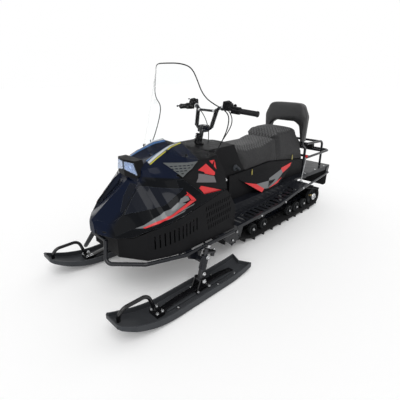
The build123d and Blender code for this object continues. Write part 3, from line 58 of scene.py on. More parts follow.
# ---------------------------------------------------------------- camera and lamps
CAMERA_AT = Vector((1.906, 1.638, 1.308))
CAMERA_LOOK = Vector((-0.6503, -0.6644, -0.3684))
scene = bpy.context.scene
camera = bpy.data.objects.new("camera", bpy.data.cameras.new("camera"))
scene.collection.objects.link(camera)
camera.data.lens = 29.07
camera.data.sensor_width = 36.0
camera.location = CAMERA_AT
camera.rotation_euler = CAMERA_LOOK.to_track_quat("-Z", "Y").to_euler()
scene.camera = camera
scene.view_settings.view_transform = "Standard"

for lamp_name, direction, watts, softness in (
    ("key_lamp", (-0.35, -0.55, -1.0), 1.15, 35.0),
    ("side_lamp", (-1.0, -0.6, -0.35), 0.5, 45.0),
):
    lamp = bpy.data.objects.new(lamp_name, bpy.data.lights.new(lamp_name, "SUN"))
    scene.collection.objects.link(lamp)
    lamp.data.energy = watts
    lamp.data.angle = math.radians(softness)
    lamp.rotation_euler = Vector(direction).to_track_quat("-Z", "Y").to_euler()


# ---------------------------------------------------------------- writing finishes
class Wire:
    """A number that varies; arithmetic on it adds the Math nodes to its tree."""

    def __init__(self, owner, socket):
        self.owner = owner
        self.socket = socket

    def __add__(self, other):
        return self.owner.maths("ADD", self, other)

    def __sub__(self, other):
        return self.owner.maths("SUBTRACT", self, other)

    def __rsub__(self, other):
        return self.owner.maths("SUBTRACT", other, self)

    def __mul__(self, other):
        return self.owner.maths("MULTIPLY", self, other)

    def __truediv__(self, other):
        return self.owner.maths("DIVIDE", self, other)

    def __abs__(self):
        return self.owner.maths("ABSOLUTE", self)

    __radd__ = __add__
    __rmul__ = __mul__


class Nodes:
    """A tree of nodes, written as Python."""

    def __init__(self, tree):
        self.tree = tree

    def feed(self, socket, value):
        """Links a wire to a socket, or sets the socket's own value."""
        if isinstance(value, Wire):
            self.tree.links.new(value.socket, socket)
        elif isinstance(value, tuple) and len(value) == 3 and socket.type == "RGBA":
            socket.default_value = (*value, 1.0)
        else:
            socket.default_value = value

    def node(self, kind, settings=None, inputs=None, output=0):
        """Adds a node with its settings and inputs and gives one of its outputs."""
        node = self.tree.nodes.new(kind)
        for key, value in (settings or {}).items():
            setattr(node, key, value)
        for key, value in (inputs or {}).items():
            self.feed(node.inputs[key], value)
        return Wire(self, node.outputs[output])

    def maths(self, operation, *values):
        """One step of arithmetic, as a node."""
        return self.node("ShaderNodeMath", {"operation": operation}, dict(enumerate(values)))


class Finish(Nodes):
    """A material in the making: a tree of nodes behind one Principled shader."""

    def __init__(self, name, **constants):
        self.material = bpy.data.materials.new(name)
        self.material.use_nodes = True
        super().__init__(self.material.node_tree)
        self.shader = self.tree.nodes["Principled BSDF"]
        for key, value in constants.items():
            self.set(key.replace("_", " ").title().replace("Ior", "IOR"), value)

    def set(self, name, value):
        """Gives one of the shader's inputs a value or a wire."""
        self.feed(self.shader.inputs[name], value)

    def mix(self, share, low, high):
        """A colour between two, by a share from 0 to 1."""
        return self.node("ShaderNodeMix", {"data_type": "RGBA"}, {0: share, 6: low, 7: high}, output=2)

    def steps(self, value, low, high, low_out=0.0, high_out=1.0):
        """The value's run from low to high, drawn out between two outputs and held beyond them."""
        limits = {"Value": value, "From Min": low, "From Max": high, "To Min": low_out, "To Max": high_out}
        return self.node("ShaderNodeMapRange", {"interpolation_type": "SMOOTHSTEP"}, limits)

    def places(self, scale=(1.0, 1.0, 1.0)):
        """Object coordinates, scaled for a pattern."""
        spot = self.node("ShaderNodeTexCoord", output="Object")
        return self.node("ShaderNodeMapping", None, {"Vector": spot, "Scale": scale})

    def along(self, name):
        """One object coordinate as a number."""
        spot = self.node("ShaderNodeTexCoord", output="Object")
        return self.node("ShaderNodeSeparateXYZ", None, {0: spot}, output=name)

    def cloud(self, scale, detail=3.0, places=None):
        """Soft noise from 0 to 1; scale is in spots per metre."""
        inputs = {"Vector": places or self.places(), "Scale": scale, "Detail": detail, "Roughness": 0.55}
        return self.node("ShaderNodeTexNoise", None, inputs)

    def cells(self, scale):
        """Distance to the edge in a field of cells, like grained hide; scale is in cells per metre."""
        inputs = {"Vector": self.places(), "Scale": scale}
        return self.node("ShaderNodeTexVoronoi", {"feature": "DISTANCE_TO_EDGE"}, inputs, output="Distance")

    def softened(self, radius):
        """The surface's normal with its edges rounded off."""
        return self.node("ShaderNodeBevel", {"samples": 4}, {"Radius": radius})

    def edges(self, radius):
        """How near a sharp edge a place is, from 0 to 1."""
        flat = self.node("ShaderNodeNewGeometry", output="Normal")
        inputs = {0: self.softened(radius), 1: flat}
        facing = self.node("ShaderNodeVectorMath", {"operation": "DOT_PRODUCT"}, inputs, output="Value")
        return self.steps(facing, 0.995, 0.86)

    def relief(self, height, depth, radius, strength=0.6):
        """Raises the surface by a height from 0 to 1 times the depth, on softened edges."""
        base = self.softened(radius)
        inputs = {"Height": height, "Distance": depth, "Strength": strength, "Normal": base}
        self.set("Normal", self.node("ShaderNodeBump", None, inputs))


# ---------------------------------------------------------------- studio and floor
studio = bpy.data.worlds.new("studio")
scene.world = studio
studio.use_nodes = True
studio.node_tree.nodes.clear()
sky = Nodes(studio.node_tree)
WHITE = (1.0, 1.0, 1.0)
LIGHT_ON_THINGS = 0.62    # strength of the sky as a light; it is plain white where it is seen
seen = sum(
    sky.node("ShaderNodeLightPath", output=f"Is {ray} Ray") for ray in ("Camera", "Glossy", "Transmission")
)
as_light = sky.node("ShaderNodeBackground", None, {"Color": WHITE, "Strength": LIGHT_ON_THINGS})
as_seen = sky.node("ShaderNodeBackground", None, {"Color": WHITE, "Strength": 1.0})
seen_share = sky.maths("MINIMUM", seen, 1.0)
whole_sky = sky.node("ShaderNodeMixShader", None, {0: seen_share, 1: as_light, 2: as_seen})
sky.feed(sky.tree.nodes.new("ShaderNodeOutputWorld").inputs["Surface"], whole_sky)

floor_finish = Finish(
    "white_floor", base_color=(0.97, 0.97, 0.97), roughness=0.9,
    emission_color=WHITE, emission_strength=0.07,
)
floor_shape = bmesh.new()
bmesh.ops.create_grid(floor_shape, x_segments=1, y_segments=1, size=30.0)
floor_mesh = bpy.data.meshes.new("floor")
floor_shape.to_mesh(floor_mesh)
floor_shape.free()
floor = bpy.data.objects.new("floor", floor_mesh)
scene.collection.objects.link(floor)
floor_mesh.materials.append(floor_finish.material)

# ---------------------------------------------------------------- finishes
HIDE_GRAIN = 420.0        # cells a metre in the seats' vinyl


def moulded(name, colour, pale, grain_scale, depth, roughness, radius=0.002):
    """Moulded plastic or rubber: fine grain, slight clouding, edges painted paler as a painted highlight."""
    finish = Finish(name, specular_ior_level=0.06)
    clouding = finish.cloud(9.0, 4.0)
    # edges painted pale: a painted highlight; the clouding is random tone
    edge_highlight_and_clouding = finish.edges(radius) * 0.5 + clouding * 0.3
    finish.set("Base Color", finish.mix(edge_highlight_and_clouding, colour, pale))
    finish.set("Roughness", finish.steps(clouding, 0.3, 0.7, roughness - 0.06, roughness + 0.08))
    finish.relief(finish.cloud(grain_scale, 2.0), depth, radius)
    return finish


def painted(name, colour, pale, roughness, coat=0.3, peel=260.0):
    """Sprayed or powder paint: orange peel, edges painted paler as wear and as a painted highlight, a little
    dust in the roughness.
    """
    radius = 0.002
    finish = Finish(name, specular_ior_level=0.1, coat_weight=coat, coat_roughness=0.12)
    dust = finish.cloud(14.0, 5.0)
    # edges painted paler: partly wear of the paint, partly a painted highlight
    finish.set("Base Color", finish.mix(finish.edges(radius) * 0.55, colour, pale))
    finish.set("Roughness", finish.steps(dust, 0.35, 0.7, roughness, roughness + 0.12))
    finish.relief(finish.cloud(peel, 2.0), 0.0004, radius)
    return finish


def metal(name, colour, dull, roughness, stretch, metallic=1.0):
    """Bare or plated metal with drawn marks along one direction."""
    finish = Finish(name, metallic=metallic)
    marks = finish.cloud(320.0, 3.0, finish.places(scale=stretch))
    stain = finish.cloud(22.0, 4.0)
    finish.set("Base Color", finish.mix(finish.steps(stain, 0.35, 0.75), colour, dull))
    finish.set("Roughness", finish.steps(marks, 0.3, 0.7, roughness - 0.06, roughness + 0.1))
    finish.relief(marks, 0.0002, 0.001, 0.4)
    return finish


finishes = {
    "track_rubber": moulded("belt_rubber", (0.020, 0.020, 0.021), (0.060, 0.060, 0.060), 420.0, 0.0008, 0.72),
    "flap_rubber": moulded("flap_rubber", (0.016, 0.016, 0.017), (0.045, 0.045, 0.046), 150.0, 0.0006, 0.6),
    "grip_rubber": moulded("grip_rubber", (0.014, 0.014, 0.015), (0.050, 0.050, 0.052), 900.0, 0.0004, 0.65),
    "black_paint": painted("satin_black_paint", (0.005, 0.006, 0.009), (0.11, 0.12, 0.14), 0.22, coat=0.45),
    "black_sheet": painted(
        "black_sheet_paint", (0.007, 0.008, 0.011), (0.05, 0.052, 0.058),
        0.42, peel=520.0,
    ),
    "matt_plastic": moulded(
        "matt_black_plastic", (0.0055, 0.0056, 0.0062), (0.024, 0.024, 0.026),
        800.0, 0.0005, 0.5,
    ),
    "vent_grey": moulded("vent_grey_plastic", (0.085, 0.092, 0.094), (0.20, 0.21, 0.21), 700.0, 0.0003, 0.42),
    "wheel_plastic": moulded(
        "wheel_plastic", (0.014, 0.015, 0.016), (0.05, 0.052, 0.054),
        380.0, 0.0003, 0.46,
    ),
    "bare_steel": metal("zinc_plate", (0.42, 0.43, 0.44), (0.22, 0.22, 0.22), 0.34, (1.0, 0.05, 1.0)),
    "ski_plastic": moulded(
        "ski_plastic", (0.034, 0.036, 0.040), (0.13, 0.136, 0.145),
        240.0, 0.0003, 0.34, 0.003,
    ),
    "ski_steel": painted("gloss_black_steel", (0.006, 0.006, 0.007), (0.04, 0.04, 0.042), 0.16, coat=0.6),
    "engine_metal": metal("cast_aluminium", (0.42, 0.42, 0.43), (0.2, 0.2, 0.2), 0.5, (1.0, 1.0, 1.0)),
    "muffler_steel": metal("dulled_steel", (0.16, 0.15, 0.14), (0.08, 0.07, 0.06), 0.45, (1.0, 0.1, 1.0)),
}

gloss = Finish("hood_gloss", specular_ior_level=0.03, coat_weight=0.22, coat_roughness=0.03)
gloss.set("Coat IOR", 1.28)
between_humps = gloss.steps(abs(gloss.along("Y")), 0.150, 0.090)
above_sides = gloss.steps(gloss.along("Z"), 0.735, 0.745)
tint = gloss.maths("MAXIMUM", between_humps, above_sides)   # deep blue on both, black elsewhere
paint = gloss.mix(tint, (0.0025, 0.003, 0.0042), (0.003, 0.006, 0.018))
# the creases are painted pale grey-blue: a painted highlight along the hood's ridges
gloss.set("Base Color", gloss.mix(gloss.edges(0.002) * 0.5, paint, (0.22, 0.24, 0.27)))
gloss.set("Roughness", gloss.steps(gloss.cloud(6.0, 4.0), 0.3, 0.7, 0.16, 0.26))
gloss.relief(gloss.cloud(120.0, 1.0), 0.0002, 0.004, 0.25)
finishes["hood_gloss"] = gloss

vinyl = Finish("grained_vinyl", specular_ior_level=0.3)
hide = vinyl.cells(HIDE_GRAIN)
worn_seat = vinyl.cloud(7.0, 4.0)
vinyl.set("Base Color", vinyl.mix(worn_seat, (0.019, 0.019, 0.020), (0.036, 0.036, 0.038)))
vinyl.set("Roughness", vinyl.steps(worn_seat, 0.3, 0.7, 0.46, 0.60))
vinyl.relief(vinyl.steps(hide, 0.0, 0.14), 0.0006, 0.002, 0.5)
finishes["seat_vinyl"] = vinyl

clear = Finish("clear_sheet", base_color=(0.99, 1.0, 1.0), transmission_weight=1.0)
clear.set("IOR", 1.08)
clear.set("Roughness", clear.steps(clear.cloud(3.0, 3.0), 0.4, 0.7, 0.0, 0.015))
finishes["screen_clear"] = clear

lens = Finish("lamp_lens", base_color=(0.93, 0.96, 1.0), transmission_weight=1.0)
lens.set("IOR", 1.3)
lens.set("Roughness", lens.steps(lens.cloud(40.0, 2.0), 0.3, 0.7, 0.02, 0.05))
finishes["lamp_glass"] = lens

for row in record["subparts"]:
    for holder in nodes[row["node"]].material_slots:
        holder.link = "OBJECT"
        holder.material = finishes[row["material_slot"]].material


# ---------------------------------------------------------------- making pieces
SIDES = {"left": 1.0, "right": -1.0}
SKIN_FACING = 0.12        # a face turned further away than this doesn't carry a film
CORD_FINENESS = 6         # steps of a cord between two places of its route
SKI_Y = 0.418
PIVOT_X, PIVOT_Z = 0.712, 0.095     # the pin on which a ski pitches
THIN_FILM = 0.0006


def settle(made, finish, body):
    """Gives a finished object its material and its body, if it follows one alone."""
    made.data.materials.append(finish.material)
    if body:
        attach(made, body)
    return made


def piece(name, shape, finish, body, sharp=35.0):
    """Turns a worked bmesh into a piece of the machine."""
    mesh = bpy.data.meshes.new(name)
    shape.to_mesh(mesh)
    shape.free()
    mesh.polygons.foreach_set("use_smooth", [True] * len(mesh.polygons))
    mesh.set_sharp_from_angle(angle=math.radians(sharp))
    made = bpy.data.objects.new(name, mesh)
    scene.collection.objects.link(made)
    return settle(made, finish, body)


def drawn_line(name, route, radius, fineness):
    """A round line through a route, as a curve that touches both the route's ends."""
    curve = bpy.data.curves.new(name, "CURVE")
    curve.dimensions = "3D"
    curve.bevel_depth = radius
    curve.bevel_resolution = 2
    curve.use_fill_caps = True
    curve.resolution_u = fineness
    spline = curve.splines.new("NURBS")
    spline.points.add(len(route) - 1)
    for point, place in zip(spline.points, route):
        point.co = (*place, 1.0)
    spline.order_u = 3
    spline.use_endpoint_u = True
    return bpy.data.objects.new(name, curve)


def solid_line(name, route, radius, fineness=12):
    """The same line as a closed shape."""
    line = drawn_line(name, route, radius, fineness)
    mesh = bpy.data.meshes.new_from_object(line)
    shape = bmesh.new()
    shape.from_mesh(mesh)
    curve = line.data
    bpy.data.meshes.remove(mesh)
    bpy.data.objects.remove(line)
    bpy.data.curves.remove(curve)
    bmesh.ops.remove_doubles(shape, verts=shape.verts, dist=0.00001)
    return shape


def merged(solid):
    """A copy of a solid's shape, its loose triangles joined."""
    shape = bmesh.new()
    shape.from_mesh(solid.data)
    bmesh.ops.remove_doubles(shape, verts=shape.verts, dist=0.00002)
    return shape


def remeshed(shape, name, voxel):
    """An object whose skin is an even net of small squares round a closed shape."""
    mesh = bpy.data.meshes.new(name)
    shape.to_mesh(mesh)
    shape.free()
    made = bpy.data.objects.new(name, mesh)
    scene.collection.objects.link(made)
    net = made.modifiers.new("net", "REMESH")
    net.mode = "VOXEL"
    net.voxel_size = voxel
    return baked(made)


def baked(made):
    """Applies an object's modifiers to its mesh."""
    bpy.context.view_layer.update()
    shown = made.evaluated_get(bpy.context.evaluated_depsgraph_get())
    mesh = bpy.data.meshes.new_from_object(shown)
    made.modifiers.clear()
    made.data = mesh
    return made


def swell(made, held, cap, pressure):
    """Blows the skin up as cloth over foam; held places stay put and none moves further than the cap."""
    frames = 20
    start = [vert.co.copy() for vert in made.data.vertices]
    pins = made.vertex_groups.new(name="held")
    pins.add([place for place, spot in enumerate(start) if held(spot)], 1.0, "REPLACE")
    cloth = made.modifiers.new("cloth", "CLOTH")
    cloth.settings.quality = 4
    cloth.settings.vertex_group_mass = "held"
    cloth.settings.use_pressure = True
    cloth.settings.uniform_pressure_force = pressure
    cloth.settings.effector_weights.gravity = 0.0
    cloth.collision_settings.use_collision = False
    cloth.point_cache.frame_end = frames
    for number in range(1, frames + 1):
        scene.frame_set(number)
    shown = made.evaluated_get(bpy.context.evaluated_depsgraph_get())
    ends = [vert.co.copy() for vert in shown.data.vertices]
    made.modifiers.clear()
    scene.frame_set(1)
    for vert, first, last in zip(made.data.vertices, start, ends):
        step = last - first
        vert.co = first + step * min(1.0, cap / max(step.length, 1e-6))


def cushion(name, node, voxel, drawn_in, held, cap, seams, pressure, softness=3, trim=None):
    """A cushioned piece in place of a node: drawn in a little, blown up, smoothed, with seams pressed in."""
    shape = merged(nodes[node])
    bmesh.ops.recalc_face_normals(shape, faces=shape.faces)
    middle = sum((vert.co for vert in shape.verts), Vector()) / len(shape.verts)
    for vert in shape.verts:
        if not held(vert.co):
            vert.co = middle + (vert.co - middle) * (1.0 - drawn_in)
    made = remeshed(shape, name, voxel)
    swell(made, held, cap, pressure)
    soft = bmesh.new()
    soft.from_mesh(made.data)
    loose = [vert for vert in soft.verts if not held(vert.co)]
    if trim:
        for vert in loose:
            trim(vert.co)
    for turn in range(softness):
        bmesh.ops.smooth_vert(
            soft, verts=loose, factor=0.5, use_axis_x=True, use_axis_y=True, use_axis_z=True,
        )
    soft.normal_update()
    for vert in loose:
        vert.co -= vert.normal * seams(vert.co, vert.normal)
    soft.to_mesh(made.data)
    soft.free()
    made.data.polygons.foreach_set("use_smooth", [True] * len(made.data.polygons))
    rounder = made.modifiers.new("rounder", "SUBSURF")
    rounder.levels = 1
    rounder.render_levels = 1
    made.data.materials.clear()
    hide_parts(node)
    return made


def groove(distance, width, depth):
    """Depth of a pressed-in seam at a distance from its middle."""
    return depth * math.exp(-((distance / width) ** 2))


# ---------------------------------------------------------------- seats and backrest
quilt = Finish("quilted_vinyl", specular_ior_level=0.3)
PITCH = 0.030             # of the quilting, along and across the seat
SEAT_FOOT_Z = 0.626       # below this the cushions rest on the base
SEAM = 0.006              # half the width of a pressed-in seam
SEAM_DEPTH = 0.003
worn_quilt = quilt.cloud(7.0, 4.0)
quilt_x, quilt_y = quilt.along("X"), quilt.along("Y")


def fold(value, pitch):
    """A value folded into repeats of a pitch: 0 on each line, 0.5 half way between."""
    turns = value.owner.maths("FRACT", value / pitch)
    return value.owner.maths("MINIMUM", turns, 1 - turns)


one_way, other_way = fold(quilt_x + quilt_y, PITCH), fold(quilt_x - quilt_y, PITCH)
seam_gap = quilt.maths("MINIMUM", one_way, other_way)
outward_wire = quilt.node("ShaderNodeNewGeometry", output="Normal")
facing_up = quilt.node("ShaderNodeSeparateXYZ", None, {0: outward_wire}, output="Z")
zigzag = abs(quilt_y) + fold(quilt_x, PITCH) * 0.021
on_top = quilt.steps(facing_up, 0.25, 0.4) * quilt.steps(zigzag, 0.153, 0.149)
pillow = quilt.steps(seam_gap, 0.0, 0.22) * on_top
# darker along the seams: painted shade in the seams' creases
seam_shade = quilt.steps(seam_gap, 0.09, 0.03) * on_top
hide_grain = quilt.steps(quilt.cells(HIDE_GRAIN), 0.0, 0.14)
plain = quilt.mix(worn_quilt, (0.012, 0.012, 0.013), (0.022, 0.022, 0.023))
# the pillows' tops are painted lighter: a painted highlight
painted_pillow_highlight = quilt.mix(pillow, plain, (0.082, 0.082, 0.084))
quilt.set("Base Color", quilt.mix(seam_shade, painted_pillow_highlight, (0.007, 0.007, 0.007)))
quilt.set("Roughness", quilt.steps(worn_quilt, 0.3, 0.7, 0.50, 0.64))
quilt.relief(pillow + hide_grain * 0.15, 0.0035, 0.001, 0.9)


DRIVER_BACK_X = -0.420    # behind this the driver's cushion stands against the passenger's
DRIVER_SEAM_X, DRIVER_SEAM_Y = 0.058, 0.150


def under_driver(spot):
    """The driver's cushion rests on the base and stands against the passenger's."""
    return spot.z < SEAT_FOOT_Z or spot.x < DRIVER_BACK_X


def driver_seams(spot, normal):
    """A piped seam along the top's edge and one across, behind the tank."""
    edge = groove(abs(spot.y) - DRIVER_SEAM_Y, SEAM, SEAM_DEPTH) if normal.z > 0.1 else 0.0
    across = groove(spot.x - DRIVER_SEAM_X, SEAM, SEAM_DEPTH) if normal.z > 0.3 else 0.0
    return edge + across


driver = cushion(
    "driver_cushion", "driver_seat", voxel=0.0065, drawn_in=0.010, held=under_driver, cap=0.018,
    seams=driver_seams, pressure=2.5,
)
settle(driver, quilt, "chassis")


PASSENGER_SEAM_X, PASSENGER_SEAM_Y = -0.505, 0.146


def under_passenger(spot):
    """The passenger's cushion rests on the base, which falls away towards the back."""
    return spot.z < SEAT_FOOT_Z - 0.13 * max(0.0, -0.31 - spot.x)


def passenger_seams(spot, normal):
    """The front panel's seam, the seams beside the top and the folds in the front panel's cover."""
    edge = groove(abs(spot.y) - PASSENGER_SEAM_Y, SEAM, SEAM_DEPTH) if normal.z > 0.1 else 0.0
    across = groove(spot.x - PASSENGER_SEAM_X, 0.007, 0.004) if normal.z > 0.2 else 0.0
    on_front = spot.x > -0.49 and spot.z > 0.79
    wrinkle = 0.0012 * math.sin(95.0 * spot.z + 26.0 * spot.y) if on_front else 0.0
    return edge + across + wrinkle


passenger = cushion(
    "passenger_cushion", "passenger_seat", voxel=0.0065, drawn_in=0.010, held=under_passenger, cap=0.013,
    seams=passenger_seams, pressure=1.8,
)
settle(passenger, quilt, "chassis")


BACKREST_LEGS_Z = 0.730   # below this the pad's legs are held
BACKREST_SEAM_X = -0.825


def backrest_held(spot):
    """The backrest's legs are clamped on its frame."""
    return spot.z < BACKREST_LEGS_Z


def backrest_seams(spot, normal):
    """A seam all round, half way through the pad's thickness."""
    return groove(spot.x - BACKREST_SEAM_X, 0.004, 0.002)


CORNER_Y, CORNER_Z, CORNER_RADIUS = 0.115, 0.947, 0.104     # of the backrest's upper corners


def backrest_corners(spot):
    """Draws the pad's upper corners round."""
    across, up = abs(spot.y) - CORNER_Y, spot.z - CORNER_Z
    reach = math.hypot(across, up)
    if across > 0.0 and up > 0.0 and reach > CORNER_RADIUS:
        drawn = (CORNER_RADIUS + (reach - CORNER_RADIUS) * 0.15) / reach
        spot.y = math.copysign(CORNER_Y + across * drawn, spot.y)
        spot.z = CORNER_Z + up * drawn


backrest = cushion(
    "backrest_cushion", "backrest_pad", voxel=0.006, drawn_in=0.006, held=backrest_held, cap=0.008,
    seams=backrest_seams, pressure=0.8, softness=8, trim=backrest_corners,
)
satin = Finish("satin_vinyl", specular_ior_level=0.35, coat_weight=0.25, coat_roughness=0.3)
satin_wear = satin.cloud(8.0, 4.0)
satin.set("Base Color", satin.mix(satin_wear, (0.010, 0.010, 0.011), (0.020, 0.020, 0.021)))
satin.set("Roughness", satin.steps(satin_wear, 0.3, 0.7, 0.34, 0.46))
satin.relief(satin.steps(satin.cells(HIDE_GRAIN), 0.0, 0.14), 0.0004, 0.002, 0.4)
settle(backrest, satin, "chassis")


# ---------------------------------------------------------------- rigid shapes
def turned(profile, start, end, steps=24):
    """A solid turned round the line from start to end; the profile gives (way along in metres, radius)."""
    shape = bmesh.new()
    ring = [shape.verts.new((radius, 0.0, way)) for way, radius in profile]
    edges = [shape.edges.new(pair) for pair in zip(ring, ring[1:])]
    bmesh.ops.spin(
        shape, geom=ring + edges, cent=(0, 0, 0), axis=(0, 0, 1), angle=math.tau, steps=steps,
        use_merge=True,
    )
    bmesh.ops.remove_doubles(shape, verts=shape.verts, dist=0.00001)
    start, end = Vector(start), Vector(end)
    turn = (end - start).to_track_quat("Z", "Y").to_matrix().to_4x4()
    bmesh.ops.transform(shape, matrix=Matrix.Translation(start) @ turn, verts=shape.verts)
    bmesh.ops.recalc_face_normals(shape, faces=shape.faces)
    return shape


def block(size, at, turn, bevel):
    """A box with rounded edges, turned by angles in degrees."""
    shape = bmesh.new()
    bmesh.ops.create_cube(shape, size=1.0)
    bmesh.ops.scale(shape, vec=size, verts=shape.verts)
    rounded(shape, bevel)
    spin = Matrix.Identity(4)
    for axis, angle in zip("XYZ", turn):
        spin = Matrix.Rotation(math.radians(angle), 4, axis) @ spin
    bmesh.ops.transform(shape, matrix=Matrix.Translation(at) @ spin, verts=shape.verts)
    return shape


def rounded(shape, bevel):
    """Rounds a shape's edges over."""
    bmesh.ops.bevel(
        shape, geom=shape.edges[:], offset=bevel, offset_type="OFFSET", affect="EDGES",
        segments=2, profile=0.5, material=-1, clamp_overlap=True,
    )


def together(*shapes):
    """Several closed shapes as one."""
    whole = bmesh.new()
    for shape in shapes:
        mesh = bpy.data.meshes.new("part")
        shape.to_mesh(mesh)
        shape.free()
        whole.from_mesh(mesh)
        bpy.data.meshes.remove(mesh)
    return whole


def bolt(at, facing, size, head=0.45):
    """A hexagon head on its washer; size is across the head's corners."""
    at, facing = Vector(at), Vector(facing).normalized()
    washer = turned(
        [(-0.001, 0.0), (-0.001, size * 0.72), (0.0014, size * 0.72), (0.0018, size * 0.66), (0.0018, 0.0)],
        at, at + facing, 16,
    )
    hexagon = turned(
        [(0.001, 0.0), (0.001, size * 0.5), (size * head, size * 0.5), (size * head + 0.0008, size * 0.42),
         (size * head + 0.0008, 0.0)],
        at, at + facing, 6,
    )
    return together(washer, hexagon)


def cut_away(shape, point, outward, close=True, near=0.00001):
    """Takes away what lies beyond a plane and closes the cut."""
    bmesh.ops.bisect_plane(
        shape, geom=shape.verts[:] + shape.edges[:] + shape.faces[:], dist=near,
        plane_co=point, plane_no=outward, clear_outer=True,
    )
    rim = [edge for edge in shape.edges if len(edge.link_faces) == 1]
    if close and rim:
        bmesh.ops.holes_fill(shape, edges=rim)


def skin_between(solid, sides, facing, lift, within=None):
    """A thin sheet that lies on a solid's skin, cut out by planes given as (point, outward direction)."""
    shape = merged(solid)
    for point, outward in sides:
        cut_away(shape, point, outward, close=False)
    facing = Vector(facing).normalized()
    shape.normal_update()
    hidden = [
        face for face in shape.faces
        if face.normal.dot(facing) < SKIN_FACING or (within and not within(face.calc_center_median()))
    ]
    bmesh.ops.delete(shape, geom=hidden, context="FACES")
    bmesh.ops.remove_doubles(shape, verts=shape.verts, dist=0.0002)
    bmesh.ops.dissolve_degenerate(shape, edges=shape.edges, dist=0.0001)
    shape.normal_update()
    for vert in shape.verts:
        vert.co += vert.normal * lift
    bmesh.ops.solidify(shape, geom=shape.faces[:], thickness=-THIN_FILM)
    bmesh.ops.recalc_face_normals(shape, faces=shape.faces)
    return shape


def cut_round(outline, spot):
    """The planes round a convex outline, which may run either way round; spot places its two numbers."""
    middle = sum((spot(across, up) for across, up in outline), Vector()) / len(outline)
    planes = []
    for (across, up), (next_across, next_up) in zip(outline, outline[1:] + outline[:1]):
        point, outward = spot(across, up), spot(next_up - up, across - next_across)
        if outward.dot(point - middle) < 0.0:
            outward.negate()
        planes.append((point, outward))
    return planes


def side_cut(outline, side):
    """The planes round an outline in x and z, on one side of the machine."""
    planes = [(Vector((0.0, 0.02 * side, 0.0)), Vector((0.0, -side, 0.0)))]
    return planes + cut_round(outline, lambda x, z: Vector((x, 0.0, z)))


def top_cut(outline):
    """The planes round an outline in x and y, looking down."""
    return cut_round(outline, lambda x, y: Vector((x, y, 0.0)))


def printed(name, colour, roughness=0.28):
    """Printed film under clear lacquer."""
    finish = Finish(name, specular_ior_level=0.25, coat_weight=0.35, coat_roughness=0.06)
    fade = finish.cloud(30.0, 3.0)
    dull = tuple(part * 0.8 for part in colour)
    finish.set("Base Color", finish.mix(fade, dull, colour))
    finish.set("Roughness", finish.steps(fade, 0.3, 0.7, roughness, roughness + 0.1))
    return finish


red_film = printed("red_film", (0.62, 0.018, 0.022))
grey_film = printed("grey_film", (0.14, 0.145, 0.15))
pale_film = printed("pale_film", (0.52, 0.54, 0.56))
yellow_film = printed("yellow_film", (0.60, 0.56, 0.04))
blue_film = printed("blue_film", (0.03, 0.13, 0.34))


# ---------------------------------------------------------------- films on the hood, console and seat base
def films(name, solid, outlines, finish, body, lift=0.0005):
    """Printed films of one colour on both sides of the machine, cut to convex outlines in x and z."""
    shapes = [
        skin_between(solid, side_cut(outline, side), (0.0, side, 0.5), lift)
        for side in SIDES.values() for outline in outlines
    ]
    piece(name, together(*shapes), finish, body)


films("hood_red_film", nodes["hood"], [
    [(0.784, 0.640), (0.738, 0.667), (0.721, 0.643), (0.756, 0.648)],
    [(0.738, 0.667), (0.686, 0.609), (0.725, 0.618), (0.737, 0.647)],
    [(0.686, 0.608), (0.731, 0.616), (1.003, 0.505), (1.001, 0.500)],
], red_film, "hood", lift=0.0009)
films("hood_grey_film", nodes["hood"], [
    [(0.755, 0.647), (0.737, 0.640), (0.736, 0.621), (0.806, 0.612), (0.783, 0.637)],
    [(0.804, 0.619), (0.761, 0.608), (1.006, 0.500), (1.033, 0.496)],
    [(0.763, 0.569), (0.779, 0.558), (0.914, 0.532), (0.900, 0.541)],
    [(0.696, 0.590), (0.709, 0.582), (0.818, 0.563), (0.801, 0.573)],
], grey_film, "hood")
films("console_red_film", nodes["console"], [
    [(0.605, 0.758), (0.524, 0.781), (0.487, 0.728), (0.498, 0.714)],
    [(0.570, 0.744), (0.569, 0.735), (0.509, 0.714), (0.498, 0.716)],
    [(0.625, 0.676), (0.436, 0.604), (0.612, 0.624), (0.644, 0.666)],
    [(0.488, 0.792), (0.446, 0.790), (0.477, 0.770)],
    [(0.443, 0.789), (0.464, 0.740), (0.472, 0.759)],
], red_film, "chassis", lift=0.0009)
films("console_grey_film", nodes["console"], [
    [(0.614, 0.742), (0.574, 0.732), (0.503, 0.708), (0.495, 0.668), (0.655, 0.702)],
    [(0.612, 0.6225), (0.517, 0.613), (0.450, 0.602), (0.600, 0.612)],
], printed("smoke_film", (0.120, 0.110, 0.116)), "chassis")


HUMP_FOOT_Z = 0.79
BAND_REAR_X, BAND_FRONT_X, BAND_SLANT = 0.57, 0.83, 0.022


def on_humps(spot):
    """Above the hood's side panels."""
    return spot.z > HUMP_FOOT_Z


def hump_band(name, near, far, finish):
    """A band of film across both humps of the hood, slanting outwards to the front."""
    shapes = []
    for side in SIDES.values():
        front = [(BAND_FRONT_X, side * (y + BAND_SLANT)) for y in (near, far)]
        planes = top_cut(front + [(BAND_REAR_X, side * y) for y in (far, near)])
        shapes.append(skin_between(nodes["hood"], planes, (0.1, 0.0, 1.0), 0.0006, on_humps))
    piece(name, together(*shapes), finish, "hood")


hump_band("hump_blue_band", 0.058, 0.070, blue_film)
hump_band("hump_white_band", 0.074, 0.090, pale_film)
hump_band("hump_yellow_band", 0.094, 0.100, yellow_film)

# ---------------------------------------------------------------- hood plates and headlights
plate_gloss = Finish("plate_gloss", specular_ior_level=0.05, coat_weight=0.34, coat_roughness=0.02)
plate_gloss.set("Coat IOR", 1.3)
